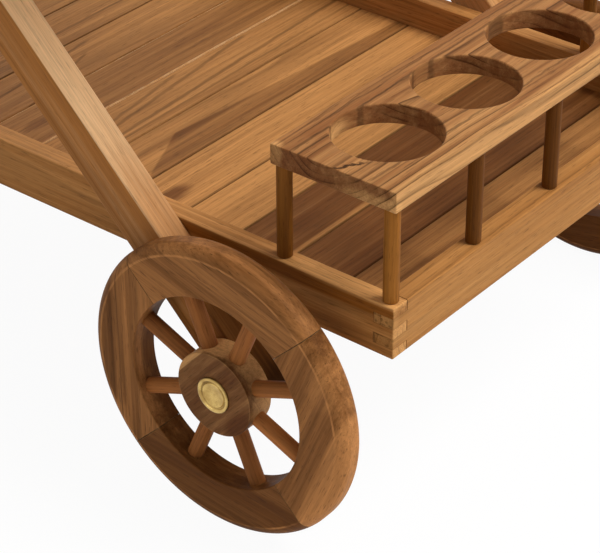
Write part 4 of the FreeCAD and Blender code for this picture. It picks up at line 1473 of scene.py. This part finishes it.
LOWER_SLATS = (
    Slat(0.59),
    Slat(1.0),
    Slat(0.42, (ToneStrip(-0.021, 0.5, slope=0.01, softness=0.003, wander=0.006),)),
    Slat(0.18, (KnotMark((-0.165, 0.004, 0.0), 0.0009, length=1.2),)),
    Slat(0.31, (Patch((-0.168, -0.003, 0.0), (0.027, 0.012, 0.02), change=0.55, raggedness=0.6),
                VeinMark(-0.22, 0.22, 0.022, width=0.0012, wander=0.002, depth=0.2))),
    Slat(0.34, (Wedge(((0.001, -0.083), (0.049, 0.463)), 0.4),)),
    Slat(0.38, (VeinMark(-0.22, 0.0, 0.024, slope=0.15, width=0.0028, wander=0.004, depth=0.35),
                VeinMark(-0.22, 0.1, 0.013, slope=0.12, width=0.003, wander=0.004, depth=0.4),
                VeinMark(-0.22, 0.22, -0.008, slope=0.05, width=0.003, wander=0.004, depth=0.45),
                VeinMark(-0.22, 0.22, -0.018, slope=0.02, width=0.0022, wander=0.004, depth=0.35)), seam=0.25),
    Slat(0.56, (Patch((-0.15, 0.0, 0.0), (0.024, 0.009, 0.02), change=0.3),), seam=0.0, sanded=True),
    Slat(0.41, (VeinMark(-0.22, 0.0, 0.02, slope=0.12, width=0.0024, wander=0.004, depth=0.4),
                VeinMark(-0.22, -0.02, 0.01, slope=0.3, width=0.0024, wander=0.004, depth=0.4)), seam=0.15),
    Slat(0.43, (VeinMark(-0.22, 0.22, -0.006, width=0.0024, wander=0.004, depth=0.35),)),
    Slat(0.4),
    Slat(0.65),
    Slat(0.4),
    Slat(0.55),
)
NEAR_RAIL_MARKS_AND_PAINTED_LIGHT = (
    # Painted highlight: the rounded top edge and the top face are painted paler, where the light catches them.
    ToneStrip(0.0228, -0.37, softness=0.001, wander=0.0005),
    Patch((0.25, 0.0235, 0.0), (0.08, 0.005, 0.05), change=0.2, raggedness=0.2),
    # Painted light: the top face is painted paler towards the wheel end.
    Patch((0.37, 0.0235, 0.0), (0.06, 0.005, 0.05), change=-0.3, raggedness=0.2),
    Patch((0.37, 0.0, 0.0), (0.3, 0.08, 0.05), change=-0.12, raggedness=0.4),
    Patch((0.36, 0.003, 0.0), (0.05, 0.008, 0.05), change=-0.22, raggedness=0.3),
    Patch((0.33, 0.0165, 0.0), (0.2, 0.0075, 0.05), change=0.5, raggedness=0.2),
)
CORNER_SPECKS_AND_PAINTED_LIGHT = (
    # Painted light: the end grain of the upper finger is painted paler.
    Patch((NEAR_END, 0.0094, 0.0), (0.01, 0.012, 0.02), change=-0.35, raggedness=0.3),
    *(Patch((NEAR_END, across, out), (0.01, wide, deep), stain=stain) for across, out, wide, deep, stain in (
        (0.0128, -0.0082, 0.0014, 0.0018, 0.45),
        (0.0126, -0.0035, 0.0012, 0.0026, 0.4),
        (0.01, -0.0018, 0.0022, 0.0016, 0.5),
        (0.0092, 0.003, 0.0014, 0.002, 0.45),
        (0.0065, 0.0064, 0.0014, 0.0022, 0.4),
        (0.0066, -0.0072, 0.0016, 0.0018, 0.45),
        (0.0058, -0.001, 0.0009, 0.0035, 0.4),
        (-0.005, -0.004, 0.0011, 0.006, 0.5),
        (-0.0095, -0.0088, 0.005, 0.0012, 0.5),
        (-0.0125, 0.004, 0.0012, 0.003, 0.4),
    )),
)


@dataclass
class Tray:
    """A tray of four rails and a floor of slats."""

    level: Level
    slats: Sequence[Slat] = ()
    near_marks: Sequence[Mark] = ()
    corner_marks: Sequence[Mark] = ()

    def build(self) -> None:
        """Dress the rails and the slats."""
        word = self.level.value
        for side in Side:
            node = f"{word}_side_rail_{side.word}"
            marks = self.near_marks if side is Side.NEAR else ()
            assign(node, SIDE_RAIL.material(node, Grain.of_node(node, ALONG_CART, side.out), marks))
        for end, face in (("wheel", 1), ("foot", -1)):
            node = f"{word}_end_rail_{end}"
            marks = self.corner_marks if end == "wheel" else ()
            assign(node, END_RAIL.material(node, Grain.of_node(node, ACROSS_CART, (face, 0, 0)), marks))
        for number, slat in enumerate(self.slats, start=1):
            node = f"{word}_slat_{number:02d}"
            low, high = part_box(node)
            marks = (*slat.marks, slat.edge_mark((high.x - low.x) / 2))
            grain = Grain.of_node(node, ACROSS_CART, UP)
            assign(node, slat.finish.material(node, grain, marks))
        if not self.slats:
            self.dress_joined_slats()

    def dress_joined_slats(self) -> None:
        """Dress the slats of a tray whose floor is one node."""
        node = f"{self.level.value}_slats"
        low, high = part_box(node)
        pitch = (high.x - low.x) / len(LOWER_SLATS)
        assign(node, SLAT.material(node, Grain.of_node(node, ACROSS_CART, UP), planks=pitch))


@dataclass
class BottleRack:
    """The board with the bottle holes, and the dowels that carry it."""

    dowel_tones: Sequence[float] = (0.57, 0.8, 1.0, 0.8, 0.6, 0.55, 0.6)
    dowel_ease: float = 0.0006
    dowel_pith: float = 0.03
    tenon_radius: float = 0.004
    tenon_length: float = 0.01
    board_pith: Triple = (2.3, -0.006, -0.055)
    marks: Sequence[Mark] = (
        ToneStrip(-0.052, 0.42, slope=0.01, softness=0.006, wander=0.012),
        ToneStrip(0.033, 0.12, softness=0.02, wander=0.006),
        VeinMark(-0.236, -0.199, -0.1362, slope=-0.594, width=0.0026, wander=0.014, depth=0.9, pace=5),
        VeinMark(-0.208, -0.195, -0.0226, width=0.0018, wander=0.006, depth=0.7, pace=5),
        VeinMark(-0.24, -0.165, 0.033, width=0.0014, wander=0.002, depth=0.7),
        VeinMark(-0.23, 0.05, -0.04, slope=-0.03, width=0.0016, wander=0.008, depth=0.5),
        VeinMark(-0.228, 0.228, 0.044, slope=0.02, width=0.0016, wander=0.008, depth=0.5),
        VeinMark(-0.228, 0.228, 0.052, slope=0.01, width=0.0012, wander=0.008, depth=0.4),
        Patch((NEAR_END, -0.046, -0.009), (0.01, 0.045, 0.012), change=-0.55, raggedness=0.3),
        Patch((NEAR_END, 0.056, 0.0), (0.01, 0.009, 0.02), change=-0.5, raggedness=0.3),
        # Painted light: the wall of the nearest hole that faces the light is painted paler.
        Patch((-0.174, 0.04, -0.004), (0.03, 0.017, 0.0128), change=-0.65, raggedness=0.3),
        Patch((-0.109, -0.005, 0.0), (0.03, 0.012, 0.05), change=0.18, raggedness=0.3),
        Patch((-0.109, -0.044, 0.0), (0.08, 0.012, 0.05), change=-0.2, raggedness=0.3),
        Patch((-0.215, 0.0405, 0.0), (0.02, 0.012, 0.05), change=-0.12, raggedness=0.3),
    )

    def build(self) -> None:
        """Dress the board and build the dowels."""
        grain = Grain(middle("rack_board"), Vector(ACROSS_CART), Vector(UP), self.board_pith)
        assign("rack_board", BOARD.material("rack_board", grain, self.marks))
        for number, tone in enumerate(self.dowel_tones, start=1):
            self.build_dowel(number, tone)

    def build_dowel(self, number: int, tone: float) -> None:
        """Turn one dowel with eased shoulders and a tenon at each end.

        Args:
            number: The dowel's number.
            tone: Its wood's tone.
        """
        node = f"rack_dowel_{number}"
        low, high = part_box(node)
        radius = (high.x - low.x) / 2
        shoulder = high.z - low.z - 2 * self.tenon_length
        ease, pin = self.dowel_ease, self.tenon_radius
        half = [(radius, shoulder / 2), (radius, shoulder - ease), (radius - ease, shoulder), (pin, shoulder),
                (pin, shoulder + self.tenon_length), (0.0, shoulder + self.tenon_length)]
        outline = [(r, shoulder - h) for r, h in reversed(half[1:])] + half
        shape = Shape()
        base = Vector((*middle(node).xy, low.z + self.tenon_length))
        shape.put(shape.turned(outline), base, Vector(UP))
        grain = Grain.of_node(node, UP, Side.NEAR.out, depth=self.dowel_pith)
        material = replace(DOWEL, tone=tone).material(node, grain)
        shape.finish(f"turned_dowel_{number}", material, Body.FRAME, Slot.DOWEL, node)


@dataclass
class CrossedLegs:
    """The four legs, crossed in pairs, and the bolts."""

    near_tone: float = 0.04
    tone: float = 0.7
    near_marks: Sequence[Mark] = (
        # Painted sheen: the faces below the upper face are painted much deeper, so the upper face looks lit.
        ToneStrip(-0.0185, 1.1, softness=0.0012, wander=0.001),
        ToneStrip(-0.006, -0.24, softness=0.006, wander=0.005),
        ToneStrip(0.009, 0.12, softness=0.008, wander=0.006),
        VeinMark(-0.5, 0.5, 0.0125, width=0.0016, wander=0.004, depth=0.2),
        Patch((-0.42, -0.0215, 0.0), (0.2, 0.005, 0.05), change=0.68, raggedness=0.2),
        # Painted shade: the lower end behind the wheel, and its upper face there, are painted darker and stained
        # for the shadow of the tray and the wheel.
        Patch((-0.51, 0.0, 0.0), (0.15, 0.2, 0.2), change=0.25, raggedness=0.3),
        Patch((-0.53, 0.0, 0.0), (0.07, 0.2, 0.2), change=0.8, stain=0.45, raggedness=0.3),
        Patch((-0.465, -0.021, 0.0), (0.09, 0.007, 0.05), change=0.5, stain=0.6, raggedness=0.2),
    )

    def build(self) -> None:
        """Dress the legs and build the fixings."""
        for side in Side:
            for kind, lean in (("wheel", -1), ("foot", 1)):
                node = f"{kind}_leg_{side.word}"
                low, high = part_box(node)
                along = ((high.x - low.x) * lean, 0.0, high.z - low.z)
                near = node == "wheel_leg_near"
                finish = replace(LEG, tone=self.near_tone if near else self.tone)
                marks = self.near_marks if near else ()
                assign(node, finish.material(node, Grain.of_node(node, along, side.out), marks))
        assign("insert_nuts", STEEL.material("insert_nuts"))
        self.build_tray_bolts()
        self.build_crossing_bolts()
        self.build_crossing_nuts()

    @staticmethod
    def lay(shape: Shape, spots: Sequence[bmesh.types.BMVert], low: Vector, high: Vector, inward: bool) -> None:
        """Lay a bolt that was turned about Z across the cart.

        Args:
            shape: The mesh that holds the bolt.
            spots: The bolt's points.
            low: The lowest corner of the bolt's solid.
            high: The highest corner of the bolt's solid.
            inward: Whether the head looks towards the cart's middle.
        """
        ahead = (low.y < 0) == inward
        base = Vector(((low.x + high.x) / 2, low.y if ahead else high.y, (low.z + high.z) / 2))
        shape.put(spots, base, Vector((0, 1 if ahead else -1, 0)))

    def build_tray_bolts(self) -> None:
        """Build the tray bolts with button heads and six-sided sockets, heads inside the rails."""
        shape = Shape()
        head, flat, socket_depth, shank = 0.0025, 0.002, 0.0017, 0.003
        crown = ((0.5, 0.04), (0.8, 0.28), (0.96, 0.62), (1.0, 0.9), (1.0, 1.0))
        for low, high in loose_boxes("tray_bolts"):
            radius = (high.x - low.x) / 2
            length = high.y - low.y
            outline = [(0.0, length - socket_depth), (flat, length - socket_depth), (flat, length),
                       *((radius * wide, length - head * down) for wide, down in crown),
                       (shank, length - head), (shank, 0.0), (0.0, 0.0)]
            spots = shape.turned(outline, steps=36)
            shape.six_sided(spots, flat)
            self.lay(shape, spots, low, high, inward=True)
        shape.finish("button_bolts", STEEL.material("button_bolts"), Body.FRAME, Slot.STEEL, "tray_bolts")

    def build_crossing_bolts(self) -> None:
        """Build the bolts at the crossings with domed heads outside the legs."""
        shape = Shape()
        head, shank, steps = 0.004, 0.004, 8
        for low, high in loose_boxes("crossing_bolts"):
            radius = (high.x - low.x) / 2
            length = high.y - low.y
            turns = [math.pi / 2 * step / steps for step in range(steps + 1)]
            dome = [(radius * math.sin(turn), length - head * (1 - math.cos(turn))) for turn in turns]
            spots = shape.turned([*dome, (shank, length - head), (shank, 0.0), (0.0, 0.0)])
            self.lay(shape, spots, low, high, inward=False)
        shape.finish("domed_bolts", STEEL.material("domed_bolts"), Body.FRAME, Slot.STEEL, "crossing_bolts")

    @staticmethod
    def build_crossing_nuts() -> None:
        """Build the six-sided nuts inside the legs with chamfered corners."""
        shape = Shape()
        bore, chamfer, corners = 0.0041, 0.0009, 6
        for low, high in loose_boxes("crossing_nuts"):
            radius = (high.x - low.x) / 2
            length = high.y - low.y
            outline = [(bore, 0.0), (radius - chamfer, 0.0), (radius, chamfer / 2),
                       (radius, length - chamfer / 2), (radius - chamfer, length), (bore, length), (bore, 0.0)]
            base = Vector(((low.x + high.x) / 2, low.y, (low.z + high.z) / 2))
            shape.put(shape.turned(outline, steps=corners), base, Vector(ACROSS_CART))
        shape.finish("chamfered_nuts", STEEL.material("chamfered_nuts"), Body.FRAME, Slot.STEEL, "crossing_nuts")


@dataclass
class Handle:
    """The round grip between the upper side rails."""

    tone: float = 0.6

    def build(self) -> None:
        """Dress the grip."""
        grain = Grain.of_node("handle_bar", ACROSS_CART, UP)
        assign("handle_bar", replace(LEG, tone=self.tone).material("handle_bar", grain))


@dataclass
class Axle:
    """The axle with its washers and nuts."""

    def build(self) -> None:
        """Dress the metal pieces."""
        for node in ("axle", "thrust_washers", "axle_nuts"):
            assign(node, STEEL.material(node))


@dataclass(frozen=True)
class Felloe:
    """One felloe's tone, the direction of its grain in the wheel's plane, and its marks: what grew in it, and on
    some, painted shade.
    """

    tone: float
    along: tuple[float, float]
    marks: Sequence[Mark] = ()
    ring_contrast: float = 0.4


NEAR_FELLOES = (
    Felloe(0.1, (0.38, 0.92), (
        ToneStrip(-0.019, 0.5, softness=0.005, wander=0.01),
        KnotMark((-0.04, -0.032, 0.0), 0.0018),
        Patch((0.06, 0.006, 0.0), (0.03, 0.03, 0.05), change=-0.2),
    ), 0.2),
    Felloe(0.45, (1.0, -0.3), (
        ToneStrip(-0.01, 0.15, slope=0.1, softness=0.02, wander=0.02),
        VeinMark(-0.1, 0.1, 0.004, slope=0.05, width=0.0016, wander=0.003, depth=0.3),
    )),
    Felloe(0.55, (0.0, 1.0), (
        Patch((-0.075, 0.01, 0.0), (0.03, 0.014, 0.05), change=-0.4),
        VeinMark(-0.1, 0.1, 0.006, width=0.001, wander=0.003, depth=0.5),
        ToneStrip(0.012, 0.2, softness=0.004, wander=0.006),
        # Painted shade: this felloe is painted darker behind its front face, on its inner surface and tread.
        Patch((0.0, 0.0, -0.012), (0.3, 0.3, 0.016), change=0.45, raggedness=0.2),
    )),
    Felloe(0.75, (1.0, -0.1), (ToneStrip(0.0, 0.15, softness=0.02, wander=0.02),), 0.3),
)
# Painted shade: the far wheel's felloes take deep tones for the shade it stands in under the tray.
FAR_FELLOES_IN_PAINTED_SHADE = (
    Felloe(1.1, (0.3, 1.0)),
    Felloe(1.15, (1.0, 0.2)),
    Felloe(1.1, (0.0, 1.0)),
    Felloe(1.1, (1.0, -0.1)),
)


@dataclass
class Wheel:
    """A wheel of four felloes, eight spokes, a hub, a bush and a brass cap."""

    side: Side
    felloes: Sequence[Felloe]
    face_radius: float = 0.1235
    hub_along: Triple = (0.66, 0.0, 0.75)
    hub_marks: Sequence[Mark] = (
        ToneStrip(0.0325, -0.6, softness=0.0015, wander=0.002),
        # Painted light: the hub's sides and a spot on its upper side are painted paler for the light that reaches
        # them; the lower right side is painted darker again.
        Patch((0.0, 0.0, -0.008), (0.3, 0.3, 0.024), change=-0.8, raggedness=0.3),
        Patch((0.003, -0.038, 0.0), (0.03, 0.02, 0.03), change=0.4, raggedness=0.3),
        Patch((0.028, 0.028, -0.003), (0.017, 0.017, 0.0158), change=-1.5, raggedness=0.3),
    )
    spoke_tones: tuple[float, float] = (0.25, 0.55)
    spoke_aside: float = 0.02
    spoke_pith: float = 0.03
    cap_plate: float = 0.0008
    cap_ring: float = 0.0032
    cap_skirt: tuple[float, float] = (0.0024, 0.003)

    @property
    def body(self) -> Body:
        """Return the body that the wheel's pieces ride on."""
        return Body.WHEEL_NEAR if self.side is Side.NEAR else Body.WHEEL_FAR

    @property
    def hub(self) -> str:
        """Return the hub's node."""
        return f"hub_{self.side.word}"

    def build(self) -> None:
        """Dress the rim, the hub and the bush, and build the spokes and the cap."""
        word, face = self.side.word, self.side.out
        centre = middle(self.hub)
        for number, felloe in enumerate(self.felloes, start=1):
            node = f"felloe_{word}_{number}"
            along = (felloe.along[0], 0.0, felloe.along[1])
            # Each felloe gets dark glue lines and a painted highlight on the edge between face and tread.
            marks = (*felloe.marks, GlueLines(tuple(centre)), WornArris(tuple(centre), self.face_radius))
            finish = replace(RIM, tone=felloe.tone, ring_contrast=felloe.ring_contrast)
            assign(node, finish.material(node, Grain.of_node(node, along, face), marks))
        low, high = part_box(self.hub)
        # Painted highlight on the hub's front edge.
        arris_highlight = WornArris(tuple(centre), (high.x - low.x) / 2, width=0.0015, change=-0.3)
        grain = Grain.of_node(self.hub, self.hub_along, face)
        assign(self.hub, HUB.material(self.hub, grain, (arris_highlight, *self.hub_marks)))
        assign(f"bush_{word}", BUSH.material(f"bush_{word}"))
        for number, box in enumerate(loose_boxes(f"spokes_{word}"), start=1):
            self.build_spoke(number, centre, *box)
        self.build_cap(centre)

    def build_spoke(self, number: int, centre: Vector, low: Vector, high: Vector) -> None:
        """Turn one spoke along its own radius.

        Args:
            number: The spoke's number.
            centre: The wheel's centre.
            low: The lowest corner of the spoke's solid.
            high: The highest corner of the spoke's solid.
        """
        axis = ((low + high) / 2 - centre) * Vector((1, 0, 1))
        radius = (high.y - low.y) / 2
        axis.normalize()
        length = (high.x - low.x - 2 * radius * abs(axis.z)) / abs(axis.x)
        base = (low + high) / 2 - axis * length / 2
        shape = Shape()
        outline = [(0.0, 0.0), (radius, 0.0), (radius, length), (0.0, length)]
        shape.put(shape.turned(outline, steps=40), base, axis)
        name = f"spoke_{self.side.word}_{number}"
        chance = seeded(name)
        pith = (chance.uniform(-TREE_REACH, TREE_REACH), chance.uniform(-self.spoke_aside, self.spoke_aside),
                self.spoke_pith)
        finish = replace(SPOKE, tone=chance.uniform(*self.spoke_tones))
        material = finish.material(name, Grain(base, axis, self.side.out, pith))
        shape.finish(name, material, self.body, Slot.SPOKE, f"spokes_{self.side.word}")

    def build_cap(self, centre: Vector) -> None:
        """Turn the brass cap: a dished plate inside a rounded ring, with a skirt in the hub.

        Args:
            centre: The wheel's centre.
        """
        node = f"hub_cap_{self.side.word}"
        low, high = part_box(node)
        hub_low, hub_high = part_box(self.hub)
        radius = (high.x - low.x) / 2
        face = abs(hub_low.y if self.side is Side.NEAR else hub_high.y)
        top = max(abs(low.y), abs(high.y)) - face
        inner = radius - self.cap_ring
        inset, depth = self.cap_skirt
        dish = ((0.0, 0.2), (inner * 0.3, 0.3), (inner * 0.6, 0.7), (inner - 0.0022, 1.5))
        groove = ((inner - 0.0015, 0.4), (inner - 0.0006, 0.4))
        ring = ((inner, top - 0.0005), (inner + 0.0006, top), (radius - 0.0011, top),
                (radius - 0.0003, top - 0.0004), (radius, top - 0.001), (radius, 0.0))
        skirt = ((radius - inset, 0.0), (radius - inset, -depth), (0.0, -depth))
        outline = [*((reach, self.cap_plate * share) for reach, share in dish + groove), *ring, *skirt]
        shape = Shape()
        base = Vector((centre.x, self.side.value * face, centre.z))
        shape.put(shape.turned(outline, steps=72), base, self.side.out)
        brass = BRASS.material(node, {inner - 0.001: 0.0011, radius: 0.0012}, tuple(centre))
        shape.finish(f"dished_cap_{self.side.word}", brass, self.body, Slot.BRASS, node)


def main() -> None:
    """Build the scene: camera and studio first, then each sub-assembly."""
    logging.basicConfig(level=logging.INFO, format="%(name)s: %(message)s")
    bpy.context.scene.view_settings.view_transform = "Standard"
    PhotoCamera().build()
    Studio().build()
    assemblies = (
        Tray(Level.LOWER, LOWER_SLATS, NEAR_RAIL_MARKS_AND_PAINTED_LIGHT, CORNER_SPECKS_AND_PAINTED_LIGHT),
        Tray(Level.UPPER),
        BottleRack(),
        CrossedLegs(),
        Handle(),
        Axle(),
        Wheel(Side.NEAR, NEAR_FELLOES),
        Wheel(Side.FAR, FAR_FELLOES_IN_PAINTED_SHADE),
    )
    for assembly in assemblies:
        assembly.build()


if __name__ == "__main__":
    main()
